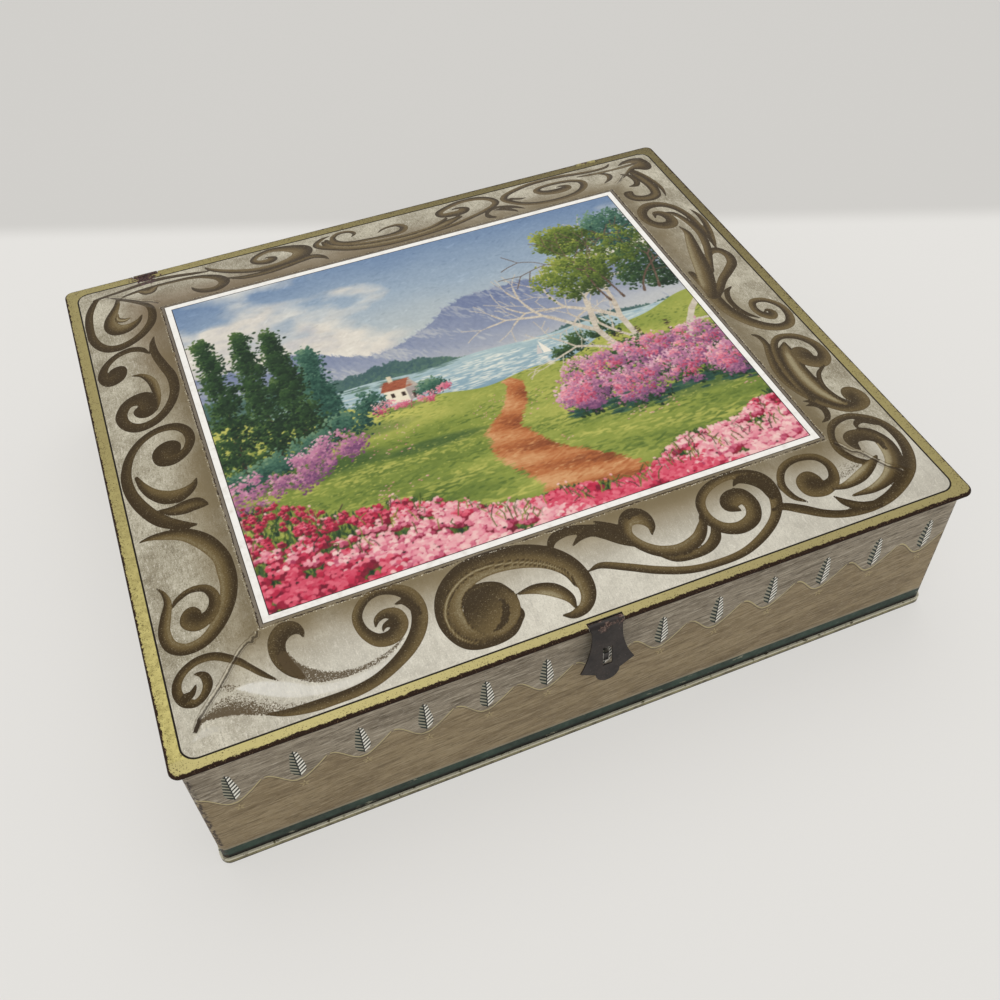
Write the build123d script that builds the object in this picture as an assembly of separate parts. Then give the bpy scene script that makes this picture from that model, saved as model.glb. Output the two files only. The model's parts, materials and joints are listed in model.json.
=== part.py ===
from build123d import *
import os
from math import cos, radians, sin

# A hinged tinplate biscuit tin: a seamed box, a raised lid curled over a wire,
# two strap hinges behind and a hasp in front.
# Millimetres, X along the long front edge, -Y at the front, +Z up.
# The origin is on the floor under the middle of the lid.

# Overall sizes
lid_length = 330.0
lid_depth = 290.0
wall_height = 76.0
sheet = 0.3

# Lid: a flat border, a sloping field on all four sides and a flat picture panel
lid_corner_radius = 4.0
border_width = 6.5
slope_width = 36.5
panel_rise = 7.5
crease_radius = 5.0
lid_seat_gap = 0.25

# Rim wire inside the lid's curled edge
wire_radius = 0.9
running_gap = 0.05
wire_butt_gap = 0.4
curl_tuck_angle = 150.0
curl_side_gap = 0.3
tube_corner_flats = 3

# Walls: two strips with a folded top edge
wall_corner_radius = 3.0
hem_height = 4.5
hem_gap = 0.1
fold_chamfer = 0.15

# Bottom double seam: five layers of sheet, hooked together
seam_height = 3.0
seam_gap = 0.03
base_recess = 3.6
bead_inset = 14.0
bead_width = 5.0
bead_height = 0.9
bead_corner_radius = 10.0

# Locked side seams, one near each rear corner
lock_seam_inset = 24.0
lock_seam_width = 3.6
lock_seam_joggle = 1.0
lock_seam_margin = 1.0

# Strap hinges
strap_thickness = 0.5
strap_width = 12.0
strap_length = 16.0
strap_inset = 41.0
strap_end_radius = 4.0
notch_side_gap = 0.4
notch_depth_gap = 0.35
rivet_spacing = 6.0
rivet_drop = 10.0
rivet_radius = 0.8
rivet_head_radius = 1.6
rivet_crown_radius = 0.8
rivet_head_height = 0.7
rivet_tail_radius = 1.25
rivet_tail_height = 0.5

# Hasp, and the staple that its slot drops over
hasp_thickness = 0.6
hasp_wall_gap = 0.25
hasp_offset = -0.8
hasp_knuckle_width = 14.0
hasp_top_width = 13.0
hasp_waist_width = 15.4
hasp_waist_drop = 14.0
hasp_flare_width = 23.0
hasp_flare_drop = 23.6
hasp_notch_width = 10.2
hasp_notch_drop = 27.2
hasp_length = 32.4
hasp_slot_width = 4.0
hasp_slot_top = 12.2
hasp_slot_bottom = 22.8
hasp_rest_angle = 5.5
staple_sheet = 0.4
staple_width = 3.2
staple_height = 5.2
staple_reach = 4.0
staple_lift = 0.7
staple_tab = 3.0
staple_bend_radius = 0.9
slit_gap = 0.05

# Where the pieces meet
bore_radius = wire_radius + running_gap
curl_radius = bore_radius + sheet
strap_radius = bore_radius + strap_thickness
hasp_radius = bore_radius + hasp_thickness
strap_x = lid_length / 2 - strap_inset
axis_y = lid_depth / 2 - curl_radius
axis_z = wall_height + lid_seat_gap - bore_radius
border_top = axis_z + curl_radius
side_wall_x = lid_length / 2 - 2 * curl_radius - curl_side_gap
rear_wall_y = axis_y - strap_radius
front_wall_y = -(axis_y - hasp_radius - hasp_wall_gap)
body_y = (rear_wall_y + front_wall_y) / 2
body_half_x = side_wall_x
body_half_y = (rear_wall_y - front_wall_y) / 2
lock_seam_y = rear_wall_y - lock_seam_inset
staple_bottom = axis_z - hasp_slot_bottom + staple_lift
layer = sheet + seam_gap


# Helpers

# A rectangle on the XZ plane, where X is the distance out from a corner's centre
def bar(r0, r1, z0, z1):
    return Plane.XZ * Pos((r0 + r1) / 2, (z0 + z1) / 2) * Rectangle(r1 - r0, z1 - z0)


# Breaks the corners of a profile that lie at the given (r, z) points
def broken(profile, points, size):
    chosen = [v for v in profile.vertices() for r, z in points
              if abs(v.X - r) < 1e-4 and abs(v.Z - z) < 1e-4]
    return chamfer(chosen, size)


# Carries a profile round a rectangle with round corners. The profile's X is
# measured from the corners' centres, which lie at (+-centre_x, +-centre_y).
# With flats given, each corner is ruled in that many short straight lengths.
def ring_of(profile, centre_x, centre_y, flats=0):
    if flats:
        corner = loft([Rot(0, 0, 90 * step / flats) * profile for step in range(flats + 1)], ruled=True)
    else:
        corner = revolve(profile, Axis.Z, 90)
    starts = [(centre_x, -centre_y), (centre_x, centre_y), (-centre_x, centre_y), (-centre_x, -centre_y)]
    pieces = []
    for side in range(4):
        run = extrude(profile, 2 * (centre_y if side % 2 == 0 else centre_x), dir=(0, 1, 0))
        turn = Rot(0, 0, 90 * side)
        pieces.append(Pos(*starts[side]) * turn * run)
        pieces.append(Pos(*starts[(side + 1) % 4]) * turn * corner)
    return Part() + pieces


# A flat plate with round corners, from z0 up
def plate(length, depth, radius, z0, thickness):
    return Pos(0, 0, z0) * extrude(RectangleRounded(length, depth, radius), thickness)


# Presses a boss into a plate of sheet: the same form above and below
def pressed(flat, boss):
    return flat + boss - Pos(0, 0, -sheet) * boss


# A leaf of metal rolled round the rim wire, on the YZ plane with the wire's
# centre at the origin and the leaf going down on the -Y side
def knuckle_face(thickness, leaf_length):
    outer = bore_radius + thickness
    reach = 2 * outer
    end = radians(255)
    mouth = Polygon((0, 0), (reach * cos(end), reach * sin(end)), (-reach, -reach), (-reach, 0), align=None)
    leaf = Pos(-(bore_radius + outer) / 2, -leaf_length / 2) * Rectangle(thickness, leaf_length)
    return Plane.YZ * (Circle(outer) - Circle(bore_radius) - mouth + leaf)


# Lid

def lid_notches():
    notches = []
    places = [(hasp_offset, -axis_y, hasp_knuckle_width, hasp_radius)]
    for side in (-1, 1):
        places.append((side * strap_x, axis_y, strap_width, strap_radius))
    for x, y, width, radius in places:
        depth = radius + notch_depth_gap
        outward = 1 if y > 0 else -1
        y_mid = y + outward * (2 * curl_radius - depth) / 2
        notches.append(Pos(x, y_mid, axis_z) * Box(width + 2 * notch_side_gap, depth + 2 * curl_radius, 6 * curl_radius))
    return notches


# The raised field and panel, as the solid under the sheet's upper side
def lid_hip():
    foot_length = lid_length - 2 * border_width
    foot_depth = lid_depth - 2 * border_width
    hip = Wedge(foot_length, panel_rise, foot_depth, slope_width, slope_width, foot_length - slope_width,
                foot_depth - slope_width, align=(Align.CENTER, Align.MIN, Align.CENTER))
    hip = Pos(0, 0, border_top) * Rot(90, 0, 0) * hip
    return fillet(hip.edges().group_by(Axis.Z)[-1], crease_radius)


def curl_profile():
    centre = lid_corner_radius - curl_radius
    reach = 4 * curl_radius
    tuck = radians(curl_tuck_angle)
    mouth = Polygon((0, 0), (0, reach), (-reach, reach), (reach * cos(tuck), reach * sin(tuck)), align=None)
    return Plane.XZ * Pos(centre, axis_z) * (Circle(curl_radius) - Circle(bore_radius) - mouth)


def lid_panel():
    centre_x = lid_length / 2 - lid_corner_radius
    centre_y = lid_depth / 2 - lid_corner_radius
    flat = plate(lid_length - 2 * curl_radius, lid_depth - 2 * curl_radius, lid_corner_radius - curl_radius,
                 border_top - sheet, sheet)
    body = pressed(flat, lid_hip())
    body += ring_of(curl_profile(), centre_x, centre_y, tube_corner_flats)
    return body - lid_notches()


def lid_rim_wire():
    centre_x = lid_length / 2 - lid_corner_radius
    centre_y = lid_depth / 2 - lid_corner_radius
    section = Plane.XZ * Pos(lid_corner_radius - curl_radius, axis_z) * Circle(wire_radius)
    butt = Pos(lid_length / 2 - curl_radius, 0, axis_z) * Box(4 * wire_radius, wire_butt_gap, 4 * wire_radius)
    return ring_of(section, centre_x, centre_y, tube_corner_flats) - butt


# Body

# The upright sheet with its folded top edge and the hook that goes into the bottom seam
def wall_profile():
    out = wall_corner_radius
    profile = bar(out - sheet, out, layer, wall_height)
    profile += bar(out - 2 * sheet - hem_gap, out, wall_height - sheet, wall_height)
    profile += bar(out - 2 * sheet - hem_gap, out - sheet - hem_gap, wall_height - hem_height, wall_height)
    profile += bar(out - sheet, out + 2 * layer, layer, layer + sheet)
    profile += bar(out + 2 * layer - sheet, out + 2 * layer, layer, seam_height - layer)
    tops = [(out, wall_height), (out - 2 * sheet - hem_gap, wall_height)]
    return broken(profile, tops, fold_chamfer)


def body_ring(profile, radius):
    return Pos(0, body_y, 0) * ring_of(profile, body_half_x - radius, body_half_y - radius)


# The lock seam on the right-hand wall, seen from above: the front strip's hook and
# the rear strip's hook. Here x counts inwards from the wall's outer face.
def lock_hooks():
    start = lock_seam_y
    end = lock_seam_y + lock_seam_width

    def strip(x0, x1, y0, y1):
        return Pos((x0 + x1) / 2, (y0 + y1) / 2) * Rectangle(x1 - x0, y1 - y0)

    front = strip(0, sheet, start - lock_seam_margin, end)
    front += strip(0, 2 * layer + sheet, end - sheet, end)
    front += strip(2 * layer, 2 * layer + sheet, start + layer, end)
    rear = strip(layer, layer + sheet, start, end - layer)
    rear += strip(layer, 3 * layer + sheet, start, start + sheet)
    rear += strip(3 * layer, 3 * layer + sheet, start, end + seam_gap)
    turn = end + seam_gap
    back = turn + lock_seam_joggle
    rear += Polygon((3 * layer, turn), (3 * layer + sheet, turn), (sheet, back), (0, back), align=None)
    rear += strip(0, sheet, back, back + lock_seam_margin)
    return front, rear


# Both wall strips, from one ring of section cut at the side seams
def wall_strips():
    ring = body_ring(wall_profile(), wall_corner_radius)
    seam_end = lock_seam_y + lock_seam_width
    low = base_recess + layer
    high = wall_height - hem_height - seam_gap
    span = 4 * (lid_length + lid_depth)
    hooks = []
    for face in lock_hooks():
        right = Pos(0, 0, low) * extrude(mirror(face, Plane.YZ), high - low)
        right = Pos(side_wall_x, 0, 0) * right
        hooks.append([right, mirror(right, Plane.YZ)])
    front = ring & Pos(0, seam_end - span / 2, 0) * Box(span, span, span)
    rear = ring & Pos(0, seam_end + seam_gap + span / 2, 0) * Box(span, span, span)
    clear = Pos(0, seam_end + (seam_gap + lock_seam_joggle) / 2, (low + high) / 2)
    rear -= clear * Box(span, lock_seam_joggle + seam_gap, high - low)
    return front + hooks[0], rear + hooks[1]


def wall_front(strip):
    slit_x = staple_width / 2 - staple_sheet / 2
    for side in (-1, 1):
        slit = Box(staple_sheet + 2 * slit_gap, 4 * sheet, staple_height + 2 * slit_gap)
        strip -= Pos(hasp_offset + side * slit_x, front_wall_y, staple_bottom + staple_height / 2) * slit
    return strip


def rivet_places():
    return [(side * strap_x + pair * rivet_spacing / 2, axis_z - rivet_drop)
            for side in (-1, 1) for pair in (-1, 1)]


def wall_rear(strip):
    for x, z in rivet_places():
        strip -= Pos(x, rear_wall_y, z) * Rot(90, 0, 0) * Cylinder(rivet_radius, 4 * sheet)
    return strip


# The bottom's edge: down inside the wall, out under it, up outside and back down
# between the wall and its hook
def base_edge_profile():
    out = wall_corner_radius
    inside = out - sheet - layer
    outside = out + 3 * layer
    profile = bar(inside, inside + sheet, 0, base_recess + sheet)
    profile += bar(inside, outside, 0, sheet)
    profile += bar(outside - sheet, outside, 0, seam_height)
    profile += bar(out + seam_gap, outside, seam_height - sheet, seam_height)
    profile += bar(out + seam_gap, out + layer, layer + sheet + seam_gap, seam_height)
    edges = [(inside, 0), (outside, 0), (outside, seam_height)]
    return broken(profile, edges, fold_chamfer)


def bottom_panel():
    inset = sheet + seam_gap
    panel = Pos(0, body_y, 0) * plate(2 * (body_half_x - inset), 2 * (body_half_y - inset),
                                      wall_corner_radius - inset, base_recess, sheet)
    top = base_recess + sheet
    slant = bead_height
    centre = bead_corner_radius
    bead = Plane.XZ * Polygon((centre - bead_width / 2, top), (centre + bead_width / 2, top),
                              (centre + bead_width / 2 - slant, top + bead_height),
                              (centre - bead_width / 2 + slant, top + bead_height), align=None)
    bead_ring = Pos(0, body_y, 0) * ring_of(bead, body_half_x - bead_inset - bead_corner_radius,
                                            body_half_y - bead_inset - bead_corner_radius)
    return pressed(panel, bead_ring) + body_ring(base_edge_profile(), wall_corner_radius)


# Hinges and hasp

def hinge_strap(side):
    knuckle = extrude(knuckle_face(strap_thickness, strap_length - strap_end_radius), strap_width / 2, both=True)
    foot = Pos(0, -(bore_radius + strap_radius) / 2, -(strap_length - strap_end_radius))
    end = Box(strap_width, strap_thickness, 2 * strap_end_radius)
    end = fillet(end.edges().filter_by(Axis.Y).group_by(Axis.Z)[0], strap_end_radius)
    strap = Pos(side * strap_x, axis_y, axis_z) * (knuckle + foot * end)
    for x, z in rivet_places():
        strap -= Pos(x, rear_wall_y, z) * Rot(90, 0, 0) * Cylinder(rivet_radius, 4 * strap_thickness)
    return strap


# One solid rivet for each place: a domed head outside, the tail flattened inside the wall
def hinge_rivets():
    head_seat = strap_thickness
    tail_seat = -sheet
    head = Polygon((0, head_seat), (rivet_head_radius, head_seat),
                   (rivet_crown_radius, head_seat + rivet_head_height),
                   (0, head_seat + rivet_head_height), align=None)
    shank = Pos(rivet_radius / 2, (head_seat + tail_seat) / 2) * Rectangle(rivet_radius, head_seat - tail_seat)
    tail = Pos(rivet_tail_radius / 2, tail_seat - rivet_tail_height / 2) * Rectangle(rivet_tail_radius,
                                                                                    rivet_tail_height)
    rivet = revolve(head + shank + tail, Axis.Y)
    return Compound([Pos(x, rear_wall_y, z) * rivet.solid() for x, z in rivet_places()])


# The flared leaf of the hasp, half of its outline mirrored
def hasp_outline():
    waist = (hasp_waist_width / 2, -hasp_waist_drop)
    flare = (hasp_flare_width / 2, -hasp_flare_drop)
    notch = (hasp_notch_width / 2, -hasp_notch_drop)
    side = ThreePointArc((hasp_top_width / 2, 0), waist, flare)
    barb = Line(flare, notch)
    tongue = ThreePointArc(notch, (0, -hasp_length), (-notch[0], notch[1]))
    left = [mirror(side, Plane.YZ), mirror(barb, Plane.YZ)]
    top = Line((-hasp_top_width / 2, 0), (hasp_top_width / 2, 0))
    slot = Pos(0, -(hasp_slot_top + hasp_slot_bottom) / 2) * Rectangle(hasp_slot_width,
                                                                     hasp_slot_bottom - hasp_slot_top)
    return make_face([side, barb, tongue, top] + left) - slot


def hasp_plate():
    knuckle = extrude(knuckle_face(hasp_thickness, hasp_thickness), hasp_knuckle_width / 2, both=True)
    leaf = Pos(0, -bore_radius, 0) * extrude(Plane.XZ * hasp_outline(), hasp_thickness)
    return Pos(hasp_offset, -axis_y, axis_z) * Rot(-hasp_rest_angle, 0, 0) * (knuckle + leaf)


# A strip bent round the front, its legs through slits in the wall and turned over inside
def hasp_staple():
    inside = front_wall_y + sheet
    tip = front_wall_y - staple_reach
    half = staple_width / 2

    def strip(x0, x1, y0, y1):
        return Pos((x0 + x1) / 2, (y0 + y1) / 2) * Rectangle(x1 - x0, y1 - y0)

    section = strip(-half, half, tip, tip + staple_sheet)
    for side in (-1, 1):
        leg = sorted((side * half, side * (half - staple_sheet)))
        tab = sorted((side * (half - staple_sheet), side * (half + staple_tab)))
        section += strip(leg[0], leg[1], tip, inside + staple_sheet)
        section += strip(tab[0], tab[1], inside, inside + staple_sheet)
    bends = [v for v in section.vertices() if abs(v.Y - tip) < 1e-4]
    section = fillet(bends, staple_bend_radius)
    return Pos(hasp_offset, 0, staple_bottom) * extrude(section, staple_height)


front_strip, rear_strip = wall_strips()
pieces = {
    "wall_front": wall_front(front_strip),
    "wall_rear": wall_rear(rear_strip),
    "bottom_panel": bottom_panel(),
    "lid_panel": lid_panel(),
    "lid_rim_wire": lid_rim_wire(),
    "hinge_strap_left": hinge_strap(-1),
    "hinge_strap_right": hinge_strap(1),
    "hinge_rivets": hinge_rivets(),
    "hasp_plate": hasp_plate(),
    "hasp_staple": hasp_staple(),
}

os.makedirs("parts", exist_ok=True)
for name, piece in pieces.items():
    export_step(piece, os.path.join("parts", name + ".step"))
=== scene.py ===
import json
import math

import bmesh
import bpy
import numpy as np
from mathutils import Matrix, Vector

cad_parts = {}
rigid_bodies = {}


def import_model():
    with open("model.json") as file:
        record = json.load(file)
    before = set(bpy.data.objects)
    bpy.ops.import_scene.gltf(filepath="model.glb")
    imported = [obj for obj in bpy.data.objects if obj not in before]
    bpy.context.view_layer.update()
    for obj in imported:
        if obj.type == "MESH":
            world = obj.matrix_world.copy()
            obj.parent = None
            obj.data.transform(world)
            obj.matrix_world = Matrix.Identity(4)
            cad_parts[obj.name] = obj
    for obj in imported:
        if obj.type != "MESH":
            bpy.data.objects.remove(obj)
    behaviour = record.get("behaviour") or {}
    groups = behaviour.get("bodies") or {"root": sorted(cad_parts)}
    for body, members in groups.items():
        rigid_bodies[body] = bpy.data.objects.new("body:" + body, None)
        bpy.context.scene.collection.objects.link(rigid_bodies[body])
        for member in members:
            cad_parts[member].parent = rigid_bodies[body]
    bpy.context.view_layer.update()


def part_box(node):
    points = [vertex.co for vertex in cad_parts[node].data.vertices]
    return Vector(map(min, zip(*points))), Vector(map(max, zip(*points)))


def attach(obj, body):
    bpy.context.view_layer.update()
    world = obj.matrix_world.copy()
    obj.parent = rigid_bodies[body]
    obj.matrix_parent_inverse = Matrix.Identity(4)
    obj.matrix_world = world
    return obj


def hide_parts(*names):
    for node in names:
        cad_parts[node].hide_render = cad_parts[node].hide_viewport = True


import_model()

mm = 0.001
sharpAngle = 0.7  # radians, edges above it stay hard


# Node helpers

class Value:  # what a node puts out; sums and products with it make math nodes
    def __init__(self, socket):
        self.socket = socket
        self.tree = socket.id_data

    def __abs__(self):
        return calc("ABSOLUTE", self)


for sign, operation in (("add", "ADD"), ("sub", "SUBTRACT"), ("mul", "MULTIPLY"), ("truediv", "DIVIDE"),
                        ("pow", "POWER")):
    setattr(Value, f"__{sign}__", lambda a, b, operation=operation: calc(operation, a, b))
    setattr(Value, f"__r{sign}__", lambda a, b, operation=operation: calc(operation, b, a))


def plug(value, socket):
    if isinstance(value, Value):
        value = value.socket
    if isinstance(value, bpy.types.NodeSocket):
        socket.id_data.links.new(value, socket)
    else:
        socket.default_value = value


def node(tree, kind, inputs=None, **settings):
    made = tree.nodes.new(kind)
    for name, value in settings.items():
        setattr(made, name, value)
    for key, value in (inputs or {}).items():
        plug(value, made.inputs[key])
    return made


def calc(operation, *values):
    tree = next(value.tree for value in values if isinstance(value, Value))
    return Value(node(tree, "ShaderNodeMath", dict(enumerate(values)), operation=operation).outputs[0])


def hypot(a, b):
    return calc("SQRT", a * a + b * b)


def smooth(value, low, high, start=0, end=1):  # eased step from start to end between low and high
    inputs = {"Value": value, "From Min": low, "From Max": high, "To Min": start, "To Max": end}
    return Value(node(value.tree, "ShaderNodeMapRange", inputs, interpolation_type="SMOOTHSTEP").outputs[0])


def bandMask(value, low, high, edge):  # 1 between low and high, with soft edges
    return smooth(value, low - edge, low + edge) * smooth(value, high - edge, high + edge, 1, 0)


def linear(seen):  # light for a colour as seen on screen, both 0 to 1
    return np.where(seen <= 0.04045, seen / 12.92, ((seen + 0.055) / 1.055) ** 2.4)


def blend(factor, a, b, mode="MIX"):  # colours come from other nodes, or are written as seen on screen, 0 to 255
    tree = next(value.tree for value in (factor, a, b) if isinstance(value, Value))
    a, b = (value if isinstance(value, Value) else (*linear(np.array(value) / 255), 1) for value in (a, b))
    return Value(node(tree, "ShaderNodeMix", {0: factor, 6: a, 7: b}, data_type="RGBA", blend_type=mode).outputs[2])


def marked(colour, *marks):  # each mark: a value, where it starts and where it is full, how much, its colour
    for value, low, high, most, markColour in marks:
        colour = blend(smooth(value, low, high, 0, most), colour, markColour)
    return colour


def noise(place, scale, detail=4, roughness=0.55, distortion=0):
    inputs = {"Vector": place, "Scale": scale, "Detail": detail, "Roughness": roughness, "Distortion": distortion}
    return Value(node(place.tree, "ShaderNodeTexNoise", inputs).outputs[0])


def stretched(place, x, y, z):
    return Value(node(place.tree, "ShaderNodeMapping", {"Vector": place, "Scale": (x, y, z)}).outputs[0])


def attribute(tree, name, kind="Fac"):
    return Value(node(tree, "ShaderNodeAttribute", attribute_name=name).outputs[kind])


def newGroup(name, **defaults):  # a group that turns a place and some numbers into a mask
    tree = bpy.data.node_groups.new(name, "ShaderNodeTree")
    tree.interface.new_socket("Place", in_out="INPUT", socket_type="NodeSocketVector")
    for socketName, default in defaults.items():
        tree.interface.new_socket(socketName, in_out="INPUT", socket_type="NodeSocketFloat").default_value = default
    tree.interface.new_socket("Mask", in_out="OUTPUT", socket_type="NodeSocketFloat")
    given = tree.nodes.new("NodeGroupInput")
    mask = tree.nodes.new("NodeGroupOutput").inputs["Mask"]
    return tree, mask, [Value(given.outputs[key]) for key in ("Place", *defaults)]


def useGroup(group, place, **inputs):
    made = node(place.tree, "ShaderNodeGroup", node_tree=group)
    for key, value in {"Place": place, **inputs}.items():
        plug(value, made.inputs[key])
    return Value(made.outputs["Mask"])


def newMaterial(name, **sockets):
    material = bpy.data.materials.new(name)
    material.use_nodes = True
    shader = material.node_tree.nodes["Principled BSDF"]
    for key, value in sockets.items():
        shader.inputs[key.replace("_", " ")].default_value = value
    return material, material.node_tree, shader


def dress(shader, colour, roughness, metallic, height, strength, relief):  # relief is the bump's depth in mm
    bump = node(shader.id_data, "ShaderNodeBump", {"Height": height, "Strength": strength, "Distance": relief * mm})
    for key, value in {"Base Color": colour, "Roughness": roughness, "Metallic": metallic,
                       "Normal": bump.outputs["Normal"]}.items():
        plug(value, shader.inputs[key])


def objectPlace(tree):
    place = Value(tree.nodes.new("ShaderNodeTexCoord").outputs["Object"])
    split = node(tree, "ShaderNodeSeparateXYZ", {"Vector": place})
    return place, [Value(split.outputs[axis]) * 1000 for axis in range(3)]


# Shared effects

specks, mask, (place, scale, amount) = newGroup("specks", Scale=300, Amount=0.3)
cells = node(specks, "ShaderNodeTexVoronoi", {"Vector": place, "Scale": scale, "Randomness": 1})
limit = (noise(place, 90, 3) - (1 - amount)) * 1.2
plug(smooth(limit - Value(cells.outputs["Distance"]), 0, 0.06), mask)

patina, mask, (place, scale, low, high) = newGroup("patina", Scale=20, Low=0.45, High=0.62)
plug(smooth(noise(place, scale, 8, 0.68, 0.3), low, high), mask)

print("shared effects ready")


# Lid: sizes follow the frame, the print's own sizes are in millimetres

_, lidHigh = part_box("lid_panel")
lid = {
    "halfX": lidHigh[0] / mm,
    "halfY": lidHigh[1] / mm,
    "top": lidHigh[2] / mm,
    "sheet": 0.3,
    "curlRadius": 1.25,
    "curlTurn": 300,
    "curlSteps": 16,
    "cornerRadius": 4.0,
    "cornerSteps": 8,
    "edgeCuts": 120,
    "border": 6.5,
    "slope": 36.5,
    "rise": 7.5,
    "hingeX": 124.0,
    "hingeNotch": (6.4, 1.8),
    "haspX": -0.8,
    "haspNotch": (7.4, 1.9),
    "fieldStep": 0.72,
    "pictureStep": 0.42,
    "pictureHalfX": 118.7,
    "pictureFront": -99.0,
    "pictureBack": 101.0,
    "pictureParts": 3,
    "frameHalfX": 119.4,
    "frameHalfY": 100.7,
    "frameWidth": 2.9,
    "frameMiddle": (-0.33, 1.2),
    "goldInset": 5.2,
    "goldCorner": 6.0,
}
lid["borderTop"] = lid["top"] - lid["rise"]
lid["axisZ"] = lid["borderTop"] - lid["curlRadius"]
lid["footX"] = lid["halfX"] - lid["border"]
lid["footY"] = lid["halfY"] - lid["border"]


def scrollCurve(points, spacing=0.45):  # a smooth line through the points, with its width
    points = np.array(points)
    padded = np.vstack([2 * points[0] - points[1], points, 2 * points[-1] - points[-2]])
    line = []
    for p0, p1, p2, p3 in zip(padded[:-3], padded[1:-2], padded[2:-1], padded[3:]):
        count = max(2, int(np.hypot(*(p2 - p1)[:2]) / spacing))
        t = np.arange(count)[:, None] / count
        line.append(0.5 * (2 * p1 + (p2 - p0) * t + (2 * p0 - 5 * p1 + 4 * p2 - p3) * t ** 2
                           + (3 * p1 - p0 - 3 * p2 + p3) * t ** 3))
    return np.vstack(line + [points[-1:]])


# Folded-in corners: the fold's line (x, y, strength) from the lid's corner towards the picture
folds = [
    [(-153, -131, .5), (-150, -126, 1), (-145.6, -121.6, 1), (-141, -117.6, .9), (-137, -113.4, 1),
     (-133.6, -109.6, 1), (-130, -106.3, .9), (-127, -104.6, .9), (-125.4, -105.2, .7), (-124.8, -103.4, .8),
     (-123.4, -103.8, .6), (-122.4, -101.4, .6), (-121.2, -100.8, .3)],
    [(-146, 131.5, .2), (-143, 128.4, .7), (-138.5, 125, .8), (-133, 119.6, .6), (-128, 115, .8),
     (-124.6, 112.6, .7), (-122, 109.6, .4), (-121.2, 106.5, .2)],
    [(121.6, -103, .3), (124.4, -105.6, .7), (127.6, -110, .6), (130.4, -111.4, .9), (134.6, -117, .7),
     (138.4, -121.6, .9), (141.4, -124, .6), (143.4, -127.6, .3)],
    [(124, 107, .2), (129.4, 111.6, .5), (134.6, 117.4, .3), (139, 121.4, .2)],
]


# For the points near a line: which they are, the place on the line, how deep inside it and how far to its left
def alongLine(line, halfWidths, margin, x, y):
    low, high = line[:, :2].min(0) - margin, line[:, :2].max(0) + margin
    near = np.flatnonzero((x > low[0]) & (x < high[0]) & (y > low[1]) & (y < high[1]))
    dx, dy = x[near, None] - line[:, 0], y[near, None] - line[:, 1]
    inside = halfWidths - np.hypot(dx, dy)
    best, rows = inside.argmax(1), np.arange(len(near))
    tangent = np.gradient(line[:, :2], axis=0)
    tangent /= np.maximum(np.hypot(tangent[:, 0], tangent[:, 1]), 1e-9)[:, None]
    toLeft = tangent[best, 0] * dy[rows, best] - tangent[best, 1] * dx[rows, best]
    return near, best, inside[rows, best], toLeft


def foldLines(x, y):  # signed distance from the nearest fold, in mm, and how strong it is there
    distance, strength = np.full(len(x), 9.0), np.zeros(len(x))
    for points in folds:
        line = scrollCurve(points)
        near, best, inside, toLeft = alongLine(line, 0, 5, x, y)
        distance[near] = -inside * np.sign(toLeft)
        strength[near] = line[best, 2] * np.clip(np.minimum(best, len(line) - 1 - best) / 5, 0, 1)
    return distance, strength


def lidHeight(x, y):  # the lid's upper side, in mm
    inside = np.minimum(lid["footX"] - np.abs(x), lid["footY"] - np.abs(y))
    slopeHeight = inside * lid["rise"] / lid["slope"]
    gap = lid["rise"] - slopeHeight
    onSlope = np.clip(0.5 + gap / 0.4, 0, 1)
    height = lid["rise"] - onSlope * np.maximum(gap, 0)
    wave = 0.05 * (np.sin(x * 0.043 + 1.1) * np.sin(y * 0.052 + 0.4) - 1) * np.clip(inside / 20, 0, 1)
    distance, strength = foldLines(x, y)
    dent = strength * (0.2 * np.exp(-((distance - 1.6) / 1.1) ** 2) - 0.35 * np.exp(-(distance / 1.0) ** 2))
    return np.minimum(lid["borderTop"] + np.maximum(height, 0) + wave + dent, lid["top"])


def vertsIn(parts):
    return [part for part in parts if isinstance(part, bmesh.types.BMVert)]


def edgesIn(parts):
    return [part for part in parts if isinstance(part, bmesh.types.BMEdge)]


def meshObject(name, bm):
    for face in bm.faces:
        face.smooth = True
    for edge in bm.edges:
        if edge.calc_face_angle(0) > sharpAngle:
            edge.smooth = False
    mesh = bpy.data.meshes.new(name)
    bm.to_mesh(mesh)
    bm.free()
    piece = bpy.data.objects.new(name, mesh)
    bpy.context.scene.collection.objects.link(piece)
    return piece


def takePlace(piece, body, slot, material, *nodes):
    piece.data.materials.append(material)
    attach(piece, body)
    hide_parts(*nodes)


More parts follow.
